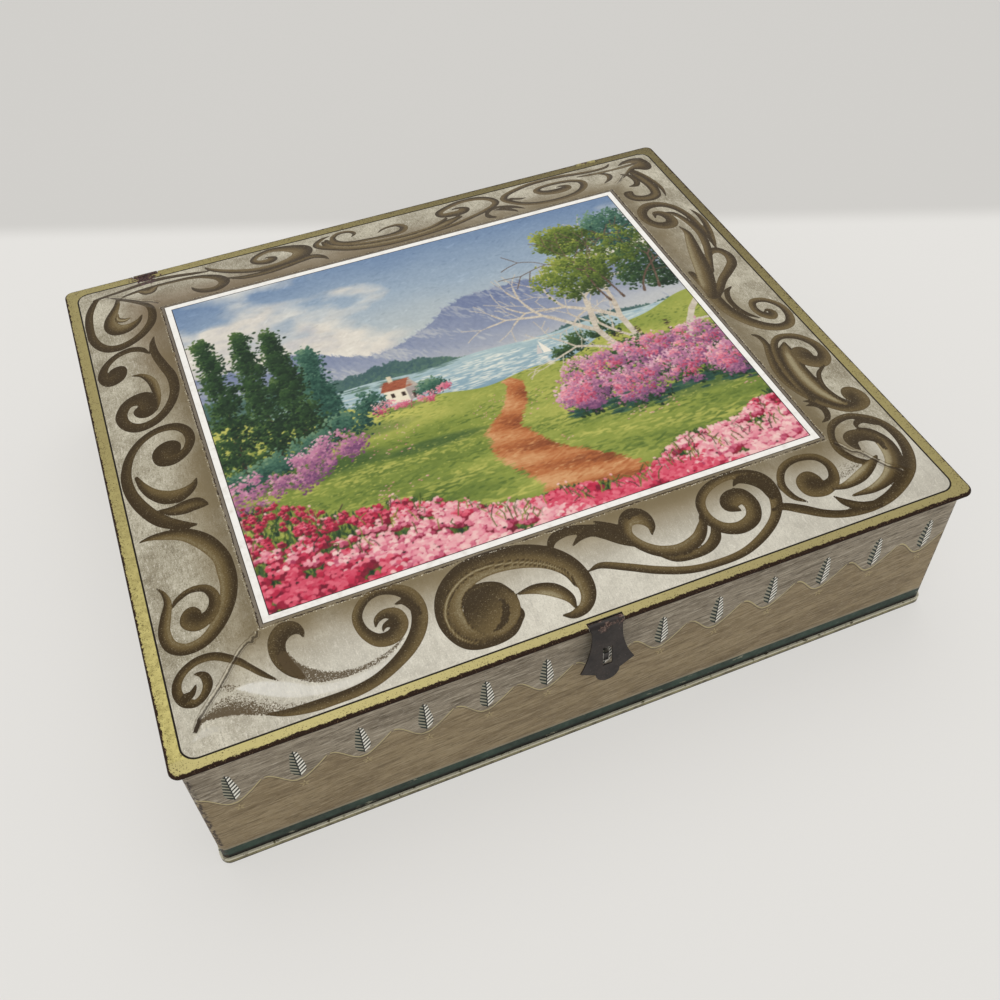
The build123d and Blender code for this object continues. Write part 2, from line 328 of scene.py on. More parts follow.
# Flat sheet from a fine grid: the top follows the lid, the sides go down one sheet and the underside is plain
def sheetFromGrid(name, xStops, yStops, xCounts, yCounts, hole=None):
    columns, rows = sum(xCounts), sum(yCounts)
    bm = bmesh.new()
    bmesh.ops.create_grid(bm, x_segments=columns, y_segments=rows, size=0.5)
    if hole:
        left, right, front, back = hole
        middles = [(f, f.calc_center_median()) for f in bm.faces]
        inHole = [f for f, middle in middles if left < (middle.x + 0.5) * columns < right
                  and front < (middle.y + 0.5) * rows < back]
        bmesh.ops.delete(bm, geom=inHole, context="FACES")
    xKnots = np.concatenate([[0], np.cumsum(xCounts)]) / columns
    yKnots = np.concatenate([[0], np.cumsum(yCounts)]) / rows
    places = np.array([v.co[:2] for v in bm.verts]) + 0.5
    x = np.interp(places[:, 0], xKnots, xStops)
    y = np.interp(places[:, 1], yKnots, yStops)
    z = lidHeight(x, y)
    for vert, place in zip(bm.verts, np.stack([x, y, z], 1) * mm):
        vert.co = place
    outside = bm.verts.layers.float.new("outside")
    for vert in bm.verts:
        vert[outside] = 1.0
    rims = [e for e in bm.edges if e.is_boundary]
    sides = bmesh.ops.extrude_edge_only(bm, edges=rims)["geom"]
    lowered = vertsIn(sides)
    bmesh.ops.translate(bm, verts=lowered, vec=(0, 0, -lid["sheet"] * mm))
    for vert in lowered:
        vert[outside] = 0.0
    lowRims = [e for e in edgesIn(sides) if e.is_boundary]
    if hole:
        bmesh.ops.triangle_fill(bm, edges=lowRims, use_beauty=False, normal=(0, 0, -1))
    else:
        bmesh.ops.contextual_create(bm, geom=lowRims)
    bmesh.ops.recalc_face_normals(bm, faces=bm.faces)
    return meshObject(name, bm)


def lidRim(name):  # the border and the curled edge, in mm until the notches are cut
    curl = lid["curlRadius"]
    touching = 1e-4
    straightX, straightY = lid["halfX"] - curl, lid["halfY"] - curl
    radius = lid["cornerRadius"] - curl
    bm = bmesh.new()
    foot = bm.verts.layers.float_vector.new("foot")
    away = bm.verts.layers.float_vector.new("away")
    bmesh.ops.create_grid(bm, x_segments=1, y_segments=1, size=1.0)
    bmesh.ops.scale(bm, vec=(straightX, straightY, 1), verts=bm.verts)
    bmesh.ops.bevel(bm, geom=bm.verts[:], affect="VERTICES", offset=radius, offset_type="OFFSET",
                    segments=lid["cornerSteps"], profile=0.5, material=-1)
    bmesh.ops.subdivide_edges(bm, edges=[e for e in bm.edges if e.calc_length() > 10 * radius],
                              cuts=lid["edgeCuts"])
    bmesh.ops.translate(bm, verts=bm.verts, vec=(0, 0, lid["borderTop"]))
    for vert in bm.verts:
        x, y = vert.co.x, vert.co.y
        vert[foot] = vert.co
        vert[away] = Vector((x - max(radius - straightX, min(straightX - radius, x)),
                             y - max(radius - straightY, min(straightY - radius, y)), 0)).normalized()
    bmesh.ops.delete(bm, geom=bm.faces[:], context="FACES_ONLY")

    edges = bm.edges[:]
    for step in range(1, lid["curlSteps"] + 1):
        angle = math.radians(lid["curlTurn"]) * step / lid["curlSteps"]
        grown = bmesh.ops.extrude_edge_only(bm, edges=edges)["geom"]
        edges = edgesIn(grown)
        for vert in vertsIn(grown):
            vert.co = vert[foot] + vert[away] * curl * math.sin(angle) - Vector((0, 0, curl - curl * math.cos(angle)))

    inner = bmesh.ops.create_grid(bm, x_segments=1, y_segments=1, size=1.0)["verts"]
    bmesh.ops.scale(bm, vec=(lid["footX"], lid["footY"], 1), verts=inner)
    bmesh.ops.translate(bm, verts=inner, vec=(0, 0, lid["borderTop"]))
    bmesh.ops.delete(bm, geom=list({f for v in inner for f in v.link_faces}), context="FACES_ONLY")
    bmesh.ops.subdivide_edges(bm, edges=list({e for v in inner for e in v.link_edges}),
                              cuts=lid["edgeCuts"])
    level = [e for e in bm.edges if min(v.co.z for v in e.verts) > lid["borderTop"] - touching]
    bmesh.ops.bridge_loops(bm, edges=level)

    def facesNear(x, reach, side, fromY=0):
        middles = [(f, f.calc_center_median()) for f in bm.faces]
        return [f for f, middle in middles if abs(middle.x - x) < reach and middle.y * side > fromY]

    def cutAcross(faces, place, normal):
        around = faces + list({e for f in faces for e in f.edges}) + list({v for f in faces for v in f.verts})
        bmesh.ops.bisect_plane(bm, geom=around, plane_co=place, plane_no=normal, dist=touching)

    notches = [(side * lid["hingeX"], 1, lid["hingeNotch"]) for side in (-1, 1)]
    notches.append((lid["haspX"], -1, lid["haspNotch"]))
    for x, side, (halfWidth, depth) in notches:
        for offset in (-halfWidth, halfWidth):
            cutAcross(facesNear(x, 12, side), (x + offset, 0, 0), (1, 0, 0))
        limitY = side * (straightY - depth)
        cutAcross(facesNear(x, halfWidth, side), (0, limitY, 0), (0, 1, 0))
        bmesh.ops.delete(bm, geom=facesNear(x, halfWidth, side, abs(limitY)), context="FACES")
    bmesh.ops.scale(bm, vec=(mm, mm, mm), verts=bm.verts)
    bmesh.ops.recalc_face_normals(bm, faces=bm.faces)
    topFace = max(bm.faces, key=lambda f: f.calc_center_median().z)
    if topFace.normal.z < 0:
        bmesh.ops.reverse_faces(bm, faces=bm.faces)
    outside = bm.verts.layers.float.new("outside")
    for vert in bm.verts:
        vert[outside] = 1.0
    made = bmesh.ops.solidify(bm, geom=bm.faces[:], thickness=lid["sheet"] * mm)["geom"]
    for vert in vertsIn(made):
        vert[outside] = 0.0
    bmesh.ops.recalc_face_normals(bm, faces=bm.faces)
    return meshObject(name, bm)


# Scrolls on the lid. Each has a dark side (1 left, -1 right, 0 both edges), how light its other side
# gets, and points (x, y, half-width) along its middle, in mm.
scrolls = [
    # front, from the left corner
    (1, 0.55, [(-129, -132.9, .2), (-121, -135.2, 1.3), (-111, -136.3, 2), (-98, -136.4, 2.1), (-88, -134.9, 2.1),
               (-79, -131.3, 2.3), (-71.5, -126.5, 2.7), (-66.3, -120.5, 3), (-64.2, -114, 3.1),
               (-65.4, -107.8, 2.9), (-69.7, -103.9, 2.2), (-76, -102.2, 1.7), (-82, -103.8, 1.7),
               (-86.6, -109, 1.9), (-86.3, -115.5, 2.1), (-82.3, -120.6, 2.6), (-76.6, -121, 2.9),
               (-72.6, -117.5, 3), (-72.8, -113.4, 2.6), (-76.5, -111.6, 1.8), (-80, -112.8, 1.2),
               (-81.6, -115.6, .2)]),
    (0, 0.1, [(-72.2, -109.4, .2), (-69, -109.3, 1), (-66.5, -111.5, 1.6), (-65, -115, 1.6)]),
    (0, 0.1, [(-79.6, -118, .2), (-78.2, -116.2, .9), (-75.4, -115.6, 1.6)]),
    (1, 0.3, [(-107.5, -110.3, .2), (-107.7, -107.6, 1.2), (-110, -105.3, 2.5), (-113.6, -105.2, 3.3),
              (-116.8, -108, 3.3), (-117.9, -112.5, 3.1), (-117, -117, 2.9), (-114.6, -121.3, 2.2),
              (-112, -124.6, .8)]),
    (-1, 0.45, [(-120.5, -122.8, .2), (-125, -118.6, 1), (-129.4, -113.6, 1.2), (-133.6, -109, 1.5),
                (-139.5, -104, 1.7), (-145.5, -102.4, 1.75), (-151, -103.8, 1.8), (-154.7, -107.4, 1.85),
                (-155.7, -112, 1.85), (-154, -116.8, 1.9), (-150.4, -119.3, 1.6), (-146.9, -118, 1.7),
                (-144.6, -114.6, 1.9), (-144.6, -111, 1.7), (-146, -108.6, 1.1), (-148.8, -107.1, .2)]),
    (0, 0.1, [(-148.5, -111.6, .15), (-149.6, -113.6, .9), (-151.2, -115.1, 1.5), (-153.2, -115.4, 2)]),
    (-1, 0.75, [(-14.7, -135.3, .3), (-10.4, -136.5, 1.6), (-5.2, -135, 2.3), (-1.8, -130.4, 3),
                (-1.5, -123.8, 3.6), (-4.9, -116.6, 4.4), (-11.4, -110.8, 4.8), (-21.5, -106.9, 5),
                (-34, -105.6, 5), (-44.4, -107.8, 5.2), (-52, -113.9, 5.2), (-54.4, -122.7, 5.2), (-51, -130.7, 5),
                (-43.8, -133.4, 4.2), (-36, -133, 3.6), (-31, -128.8, 3.4)]),
    (1, 0.6, [(-38.9, -123.9, 10.4), (-38.1, -123.5, 10.4)]),
    (0, 0.95, [(-5.2, -126.5, .3), (-6.4, -120.5, 1), (-11.2, -114.8, 1.1), (-19, -110.4, 1.1), (-28, -107.8, 1.1),
               (-37, -106.9, 1.1), (-45.5, -109, 1.1), (-52.4, -114, 1.1), (-56, -121, 1.1), (-55, -128.5, 1),
               (-50.5, -133.4, .8), (-44, -135.4, .3)]),
    (0, 0.05, [(-34.6, -120.4, .15), (-33.4, -123.5, 1), (-34.4, -127.5, 1.4), (-37.6, -130.9, 1.1),
               (-41.6, -132.2, .2)]),
    (1, 0.25, [(-49.2, -119.6, .3), (-45.6, -115, .8), (-39, -113.2, .9), (-32.4, -115.2, .8), (-28.4, -120, .3)]),
    (1, 1.0, [(-27, -121.4, .4), (-20, -121.9, 2), (-13.6, -124.7, 2.8), (-9.4, -129.4, 2), (-8.7, -134, .5)]),
    (1, 0.15, [(-7.4, -111.8, .3), (-7.5, -107.5, 1.2), (-4.4, -104.4, 1.9), (2, -103.6, 2), (9, -105.7, 2.3),
               (15, -109, 3), (20, -113.5, 2.8), (24.5, -118.6, .8)]),
    (0, 0.1, [(1, -110, .3), (5, -107.8, 1.2), (10, -107.5, 1.6), (15, -110, 2)]),
    (0, 0.1, [(12.8, -103, .2), (16, -106, 1.4), (20, -109.5, 2), (22, -113, 1.5)]),
    (-1, 0.75, [(32, -116.6, .2), (33.5, -112.6, 1.7), (32, -108.4, 3.1), (28.2, -106.4, 3.6), (24.6, -108, 2.9),
                (23.1, -113, 2.1), (26, -119, 2.1), (32, -124, 2.4), (40, -126.2, 2.7), (48, -124.2, 2.6),
                (52.6, -119.9, 2), (53.6, -117.4, 1), (53, -115.5, .2)]),
    (0, 0.05, [(33, -104.6, .2), (30.8, -105.2, 1.2), (27, -105.2, 1.8)]),
    (-1, 0.5, [(30, -124.6, .4), (36, -129, 1.2), (44, -130, 1.6), (51, -128.8, 2.1), (55.6, -125.4, 2.2),
               (57, -120.8, 1)]),
    (-1, 0.6, [(2.2, -122.1, .3), (7.8, -121.6, 1.3), (16.7, -125.6, 1.6), (27.8, -131.1, 1.7), (38.9, -135, 1.6),
               (50, -136.3, 1.5), (62.2, -135.8, 1.6), (73.3, -132, 1.8), (82.2, -126, 2), (86.6, -118.2, 2.7),
               (86.2, -110.4, 2.9), (81.4, -105.4, 2.4), (73.3, -103.1, 1.7), (63.3, -104.8, 1.8), (57, -109.8, 2),
               (56.2, -117, 2.1), (60, -123.2, 2.4), (66.7, -125.6, 2.7), (73.3, -123.6, 3), (75.9, -118.4, 3.2),
               (74, -113.2, 3.4), (69.6, -112.9, 4), (67.4, -114.6, 3.4), (69, -117.4, 1.4), (70.6, -118.9, .3)]),
    (0, 0.1, [(72.8, -108, .2), (76, -106.2, 1.4), (81, -107.6, 2.4), (84.8, -111.6, 2.6), (85.8, -117, 2)]),
    (1, 0.35, [(82, -123.1, .3), (87.8, -123.4, 1.6), (94.4, -127.1, 2), (102.2, -132, 1.8), (111, -135, 1.7),
               (122.2, -135.6, 2), (133.3, -133.2, 2.4), (144.4, -126.9, 2.7), (151.5, -117.8, 2.7),
               (154.3, -107.6, 2.7), (152.8, -98.9, 2.4), (147.6, -93.4, 2.1), (138.8, -90.6, 1.8), (129, -94, 1.7),
               (123.7, -101.1, 1.6), (123.1, -107.6, 1.7), (126.8, -114, 1.5), (132, -117.2, 1),
               (136.5, -117.8, .3)]),
    (-1, 0.5, [(97.8, -124.7, .3), (93.5, -120.4, 1.3), (92.1, -113.8, 1.6), (96, -107.6, 1.6),
               (103.3, -105.4, 1.5), (111.6, -107.3, 1.6), (115.3, -112.9, 1.9), (113.6, -119.2, 2.4),
               (107.8, -121.6, 3.2), (102.4, -120, 3.6), (101.4, -116.6, 3.6), (104, -115, 3), (106.8, -116.4, 1.8),
               (108.8, -119, .4)]),
    (-1, 1.1, [(110.5, -123, .5), (117, -123.4, 1.6), (125, -121.6, 2.6), (132, -118.4, 2), (136.5, -115.5, .5)]),
    (0, 0.3, [(109.4, -126.3, .3), (112.5, -130.4, 1.6), (118, -134, 1.9), (125, -135.5, 1.7)]),
    (-1, 1.05, [(117, -128.6, .5), (127, -128.6, 1.8), (136.6, -125.4, 3), (143, -118.6, 4), (145.4, -110, 4.2),
                (143.5, -103.2, 3.2), (139.6, -99.6, 1.6)]),
    (-1, 0.3, [(131.8, -110.4, .4), (130.8, -107.2, 2.2), (131.6, -103.6, 3.2), (135.4, -102.3, 3.6),
               (139.6, -103.2, 3.2), (143, -107, 1.8), (143.6, -112, 1)]),
    (0, 0.1, [(138.8, -100, .2), (139.8, -96, 1.1), (144, -94.2, 1.7), (149.5, -96.6, 1.9)]),
    # right side, from the front
    (0, 0.1, [(125.3, -91.6, .2), (129.5, -89.5, 1.2), (131.5, -84.5, 1.7), (129.5, -80.7, 1.6),
              (124.5, -80.2, .2)]),
    (0, 0.1, [(124.8, -77.2, .2), (128, -78.2, 1), (132, -80, 1.4)]),
    (0, 0.95, [(140.5, -38, .8), (137.6, -45, 4), (135.4, -55, 5.2), (135.2, -65, 5.6), (137.2, -74, 4.8),
               (142.6, -82, 2.6), (148, -85, 1)]),
    (1, 0.5, [(128, -29.3, .4), (130.5, -31.5, 1.3), (131, -37, 1.6), (128.3, -45, 2), (125.5, -54, 2.1),
              (125, -63, 2.2), (127.5, -71.5, 2.3), (132.5, -78.6, 2.3), (140, -85, 2.3), (147.6, -85.4, 3),
              (152.2, -82, 4.4), (152, -78.4, 5), (150.2, -77, 4.2), (148, -79, 2.2), (149, -83, .3)]),
    (-1, 0.55, [(130, -77, 1.2), (128.9, -66, 1.8), (129.5, -55, 1.8), (131.7, -45, 1.8), (135.8, -36.8, 1.7),
                (142, -33.2, 1.8), (150, -35, 2.2), (155, -41.3, 2.6), (155, -49.3, 3), (150.8, -53.6, 3.6),
                (145.4, -52, 4.8), (143.8, -48, 5.2), (145, -46, 4.2), (147.4, -46.4, 2), (148.8, -48.4, .6)]),
    (0, 0.2, [(149.5, -57, .6), (143.5, -62, 1.1), (140.8, -70, 1.2), (142.5, -78, 1.2), (147, -83.5, .8)]),
    (1, 0.65, [(124.5, 22, 1.6), (126, 10, 3), (125.9, 0, 3.3), (126.8, -9, 3.4), (130.8, -17.2, 3.4),
               (137, -23.4, 3.2), (145, -26.2, 2.6), (152, -24.4, 2.4), (155.8, -18.3, 2.2), (155.6, -10.7, 2),
               (150.5, -5.3, 1.8), (144, -5, 1.8), (141, -9.5, 1.9), (142, -15, 2.3), (146, -17.6, 2.6),
               (148.6, -15.3, 2), (147, -12.8, 1.1), (144.5, -14, .3)]),
    (1, 0.2, [(139.3, 8.2, .3), (135, 5, 1.2), (132.3, -1, 1.5), (132.3, -8, 1.5), (135, -14, 1.3),
              (139.5, -18, .4)]),
    (-1, 0.5, [(128, 2, 1.4), (132, 7, 2), (138, 14.5, 2.2), (145, 21, 2.4), (151, 27.5, 2.6), (152.6, 34, 2.7),
               (150, 38.8, 2.5), (145, 38.6, 2.2), (141.5, 34.5, 1.6), (139, 28, .9), (137, 21, .2)]),
    (-1, 0.9, [(124.8, 2, 2.4), (128.5, 13, 4.2), (132.4, 24, 4.6), (135.6, 36, 4), (139, 48, 3), (141.4, 57, 1.8),
               (140, 63.2, .3)]),
    (-1, 0.6, [(137, 22, .4), (141, 33, 1.7), (145.3, 43, 2.2), (148, 53, 2.2), (148, 62, 2), (146.3, 70, 1.9),
               (143.5, 75.3, 1.6), (139.8, 76.8, .6)]),
    (1, 0.45, [(150, 43, .8), (151.7, 53, 1.4), (151.6, 63, 1.8), (150.6, 73, 2.1), (147, 81, 2.3),
               (140.5, 85, 2.4), (132, 84, 2.6), (126, 78, 2.6), (125.3, 70.5, 2.8), (129.5, 65.6, 3),
               (136, 65.6, 3.2), (139.3, 70, 3.2), (137.4, 75.4, 2.8), (133, 76.6, 1.5), (131, 72.5, .3)]),
    (-1, 0.5, [(154.9, 78.8, .2), (156.6, 73, 1.2), (156.7, 66, 1.7), (154.6, 56.5, 1.8), (151.5, 47, 1.3),
               (149.5, 41, .4)]),
    (0, 0.5, [(130.5, 99.2, .8), (127.8, 96.4, 3), (129, 93.2, 3.2), (133.4, 92, 2.8), (139, 92.6, 2.8),
              (143.7, 96, 2.8), (144.8, 103, 3), (143.4, 110.5, 2.9), (141, 117, 2), (140, 121, 1)]),
    (1, 0.5, [(148.3, 93, .3), (149.7, 101.1, 1.2), (148.2, 110, 1.4), (144.5, 117.5, 1.5), (141, 122, 1)]),
    (0, 0.3, [(132, 104.5, .3), (136.5, 105.7, 1.4), (138.7, 109.5, 1.8), (137.6, 115, 1.5), (134, 119, .5)]),
    # rear, from the right corner
    (1, 0.6, [(138.6, 131, .4), (143.5, 133.2, 2), (148.6, 132.6, 3.4), (151.4, 129, 4.6), (151, 125.4, 4.6),
              (147.6, 124.4, 3), (143, 123.4, 1.6), (138.6, 119.6, 1.1), (133.4, 114.4, .4)]),
    (1, 0.55, [(135.2, 136.6, .2), (131.5, 133.3, 1.2), (124, 132.6, 1.4), (115, 134, 1.7), (106, 136.1, 1.8),
               (97, 137, 1.9), (87, 136.4, 1.9), (78, 134, 1.9), (70.4, 130.3, 1.9), (67.3, 125.5, 2),
               (69.7, 119.5, 2), (74.7, 113.6, 1.9), (83, 109.7, 1.7), (94, 108.7, 1.7), (104, 110.9, 1.8),
               (110.6, 116.7, 2), (111.7, 123.3, 2), (106.5, 127.7, 1.8), (97.5, 129.3, 1.6), (89, 128.3, 1.6),
               (86.6, 124.8, 2.2), (89.8, 120.6, 2.8), (96.5, 119, 3.2), (101.6, 120, 2.8), (102.6, 122.6, 1.6),
               (100, 124, .9), (97, 123.6, .2)]),
    (0, 0.2, [(78.4, 121, .2), (75, 121.3, 1), (71, 124, 1.3)]),
    (-1, 0.5, [(121.3, 113.3, .3), (126, 117, 1.3), (128, 122, 1.6), (125.5, 126.5, 1.1), (120, 130, .5)]),
    (0, 0.8, [(113, 130, .6), (122, 128.2, 1.2), (132, 127.7, 1.1), (142, 128, 1.4), (149, 129, .5)]),
    (0, 0.2, [(54.8, 107, 1), (52.6, 109.5, 1.6), (52.8, 113.5, 1), (57, 117.3, 1.2), (62.5, 117.3, 1.5),
              (68, 113.5, 1.5), (72.5, 108, .3)]),
    (0, 0.2, [(58, 115.5, .5), (63, 113.3, 1.5), (66.5, 109.5, 1.1), (67.8, 106.3, .2)]),
    (0, 0.75, [(-33, 129.5, 1.2), (-30.6, 123.6, 3), (-24, 117.6, 3.8), (-14, 113.2, 4), (-3, 111, 4),
               (9, 110.6, 3.9), (21, 112, 3.6), (31, 115.2, 3), (39, 118.4, 1.6)]),
    (-1, 0.6, [(-28.2, 135.4, .3), (-33, 133.7, 1.3), (-37, 129.3, 1.6), (-36, 124.7, 1.8), (-29.8, 118.8, 1.8),
               (-21.4, 113, 1.7), (-10.4, 109.3, 1.6), (0, 107.7, 1.4), (17, 108.2, 1.4), (33, 110.4, 1.5),
               (44.5, 114.2, 1.6), (54, 118, 1.7), (61, 122.6, 1.9), (62, 128, 2), (58.4, 133.5, 2.2),
               (52, 136.2, 2.2), (44.5, 136.2, 2), (37, 133.4, 2), (31.5, 129.7, 2), (31.4, 125.6, 2.4),
               (36, 123.8, 3), (42, 123.8, 3.2), (45, 126, 2.4), (43.4, 128.6, 1.6), (40.4, 129.6, .9),
               (38.3, 128.8, .2)]),
    (-1, 0.8, [(-31, 131, 1), (-28.3, 124.3, 1.4), (-20.5, 118.3, 1.5), (-9, 114.9, 1.5), (3, 113.2, 1.4),
               (15, 113.3, 1.3), (25, 116, 1.4), (32, 120.3, 1)]),
    (1, 0.6, [(-18, 127.6, .3), (-15.7, 131, 1.1), (-18, 134.9, 1.4), (-23.3, 135.6, 1.5), (-27.3, 131.8, 1.5),
              (-26.3, 125.7, 1.6), (-20.5, 121.2, 1.6), (-10, 119.3, 1.4), (0, 118, 1.8), (7, 119.3, 2.2),
              (9.4, 123.5, 2.1), (7.2, 127.6, 1.6), (2.5, 128.2, 1.1), (-1.5, 127, .8), (-4.3, 124.7, .3)]),
    (0, 0.4, [(-86, 117, .6), (-78.2, 113, 1.9), (-68.2, 112, 2.4), (-58.2, 113.4, 2.6), (-48.2, 116, 2.8),
              (-41.8, 116.4, 2.4), (-37.4, 113.2, 1.5), (-35.1, 108.6, .2)]),
    (-1, 0.7, [(-94.9, 136.6, .2), (-92.5, 132, 1.2), (-87, 126.5, 1.8), (-79, 121, 2.2), (-70, 117.4, 2.4),
               (-60, 117.2, 2.6), (-51, 119.6, 3.6), (-46, 123.2, 5), (-45.2, 127.6, 5.2), (-48.4, 131.4, 4.2),
               (-54, 134.8, 3), (-61, 136.3, 2), (-67.6, 133.4, 1.8), (-70.4, 129, 1.7), (-68, 125.4, 2.3),
               (-63, 124.2, 2.9), (-60.4, 126.2, 2), (-62.4, 128.6, .9), (-65, 128.8, .2)]),
    (1, 0.4, [(-139.5, 124.5, .3), (-133, 127.2, 1.2), (-123, 128.7, 1.4), (-112, 128.9, 1.4), (-102, 127.8, 1.6),
              (-94.5, 124.3, 2.1), (-89.4, 119, 2.6), (-88.4, 112.8, 2.8), (-93, 108.6, 2.6), (-99, 109.6, 2.2),
              (-103, 113.5, 1.1), (-104.2, 117, .2)]),
    (0, 0.7, [(-128, 126.5, 1.6), (-124.6, 124.6, 3.2), (-121.6, 127, 1.6)]),
    (1, 0.25, [(-94, 130.5, .6), (-101, 132.3, 1.4), (-110, 134.6, 1.7), (-119, 135.8, 1.8), (-128, 135, 1.6),
               (-138, 132.8, 1.3), (-147, 131, 1.2), (-151.5, 130.2, .6)]),
    # left side, from the rear
    (-1, 0.25, [(-148, 130.4, .5), (-151.5, 128, 1.6), (-155, 121, 2), (-156.4, 112, 2.1), (-156.4, 103, 2.1),
                (-154, 94.7, 2.1), (-149.3, 89, 2.2), (-142.5, 87, 2.3), (-134.5, 89, 2.3), (-128.6, 93.9, 2.4),
                (-126.3, 99, 2.2), (-125.8, 105, 1.8), (-127.4, 110.5, 1.5), (-131.5, 116, 1.4),
                (-135.5, 120.3, 1.2), (-139.5, 124, .8), (-143, 128, .2)]),
    (1, 0.75, [(-130.8, 103.6, .3), (-133.6, 100.2, 1.7), (-138.6, 98.6, 3), (-143.8, 100.4, 3.5),
               (-146.3, 105, 3.4), (-145.8, 110, 3.1), (-143.4, 114.8, 2.3), (-141, 119.4, 1.5),
               (-140.4, 124.5, .5)]),
    (0, 1.1, [(-141.9, 112, .5), (-142.3, 108, 1.2), (-139.6, 105.4, 1.3), (-136.6, 105.2, .4)]),
    (-1, 0.2, [(-132.5, 74, .4), (-135.5, 79, 1.4), (-141, 82.2, 1.7), (-148, 81.8, 1.8), (-153.6, 77.6, 2),
               (-155.6, 71.5, 2.5), (-153, 66.6, 3.1), (-149, 67, 3.7), (-148, 70.5, 3.7), (-150.3, 71.8, 2.6),
               (-152.4, 71, 1.2), (-153.6, 70.2, .2)]),
    (1, 0.2, [(-128.3, 84.3, .2), (-130, 79, 1.5), (-129.8, 71, 1.9), (-127.8, 61.5, 2.1), (-125.6, 51.5, 2.3),
              (-126.3, 41.5, 2.3), (-130.5, 33.5, 2.3), (-137.5, 28.5, 2.4), (-145.3, 28.6, 2.5),
              (-150.6, 33.8, 2.5), (-151.6, 41, 2.8), (-147.6, 46.6, 3), (-141, 46, 4), (-138.6, 41, 4.6),
              (-139.8, 37.4, 4.4), (-142.6, 37.4, 3), (-144.6, 39.6, 1.5), (-143, 42, .3)]),
    (-1, 0.8, [(-143.2, 64, .2), (-138.5, 61.3, 1.1), (-135, 55, 1.9), (-134, 47, 1.9), (-134.5, 40, 1.3),
               (-136, 35, .5)]),
    (1, 0.25, [(-133, -39.5, .5), (-138.5, -36.5, 2), (-146, -29.5, 2.8), (-151.6, -19.5, 2.8), (-155.3, -8, 2.5),
               (-155.8, 3, 2.4), (-152.7, 12.8, 2.2), (-147, 19.3, 2), (-139, 22, 1.9), (-131, 20, 2),
               (-126.5, 14.5, 2.1), (-125.8, 8, 2.2), (-129, 2.6, 2.3), (-134.5, .8, 2.8), (-138.8, 3.4, 3.6),
               (-139, 7.6, 4.2), (-136.6, 8.6, 4.6), (-134.6, 7.4, 4.4), (-133.4, 5.2, 2), (-131.5, 3, .4)]),
    (1, 0.6, [(-127.8, -15, .2), (-130.4, -18.6, 1.9), (-135.6, -20.3, 3.4), (-141.4, -18.4, 3.4),
              (-146.4, -13.4, 2.6), (-149.8, -7, 1.8), (-151.8, 0, .8)]),
    (0, 0.45, [(-126.2, -32, .2), (-128.4, -30.4, 1.8), (-131.4, -28.6, 3.3), (-136, -27.8, 3.5),
               (-141, -26.6, 2.2), (-146, -23.6, .5)]),
    (1, 0.75, [(-157.2, -35.4, .2), (-152, -35.7, 1.2), (-145, -38.2, 2.3), (-138, -42.4, 3), (-131.6, -50.5, 3.6),
               (-127.6, -60, 3.4), (-127, -67, 3.6), (-127.4, -75, 3.5), (-130, -83.6, 3.2), (-135.3, -91, 3),
               (-142, -95.4, 2.7), (-149, -95.3, 2.5), (-154, -91, 2.5), (-155.3, -84, 2.4), (-153.4, -77, 2.2),
               (-151.5, -71, 1.5), (-152.3, -65.5, .8), (-154.5, -61.5, .2)]),
    (-1, 0.45, [(-150, -74, .4), (-147.5, -71.5, 1.2), (-142, -70, 1.4), (-136.3, -72.4, 1.7), (-134, -78.5, 2.2),
                (-136.4, -84.4, 2.8), (-142, -86.5, 3.4), (-145.4, -83.4, 3.4), (-144.3, -80.4, 2.8),
                (-141.6, -81.6, 1.4), (-140.6, -84, .3)]),
]


def inkScrolls(x, y):  # how deep each point lies inside the scrolls, in mm, and how light the ink is there
    depth = np.full(len(x), -9.0)
    light = np.zeros(len(x))
    for darkSide, reach, points in scrolls:
        line = scrollCurve(points)
        line[:, 2] = np.maximum(line[:, 2], 0.12)
        near, best, here, toLeft = alongLine(line, line[:, 2], line[:, 2].max() + 2, x, y)
        side = np.clip(toLeft / line[best, 2], -1, 1)
        tone = 0.5 - 0.5 * side * darkSide if darkSide else 1 - np.abs(side)
        tone = tone * tone * (3 - 2 * tone) * reach
        if len(line) > 40:
            ends = np.clip(np.minimum(best, len(line) - 1 - best) / 22, 0, 1)
            tone *= 0.35 + 0.65 * ends
        tone *= 0.65 + 0.35 * np.clip(here / 0.7, 0, 1)
        take = (here > 0) | (here > depth[near])
        light[near[take]] = tone[take]
        depth[near] = np.maximum(depth[near], here)
    return depth, light


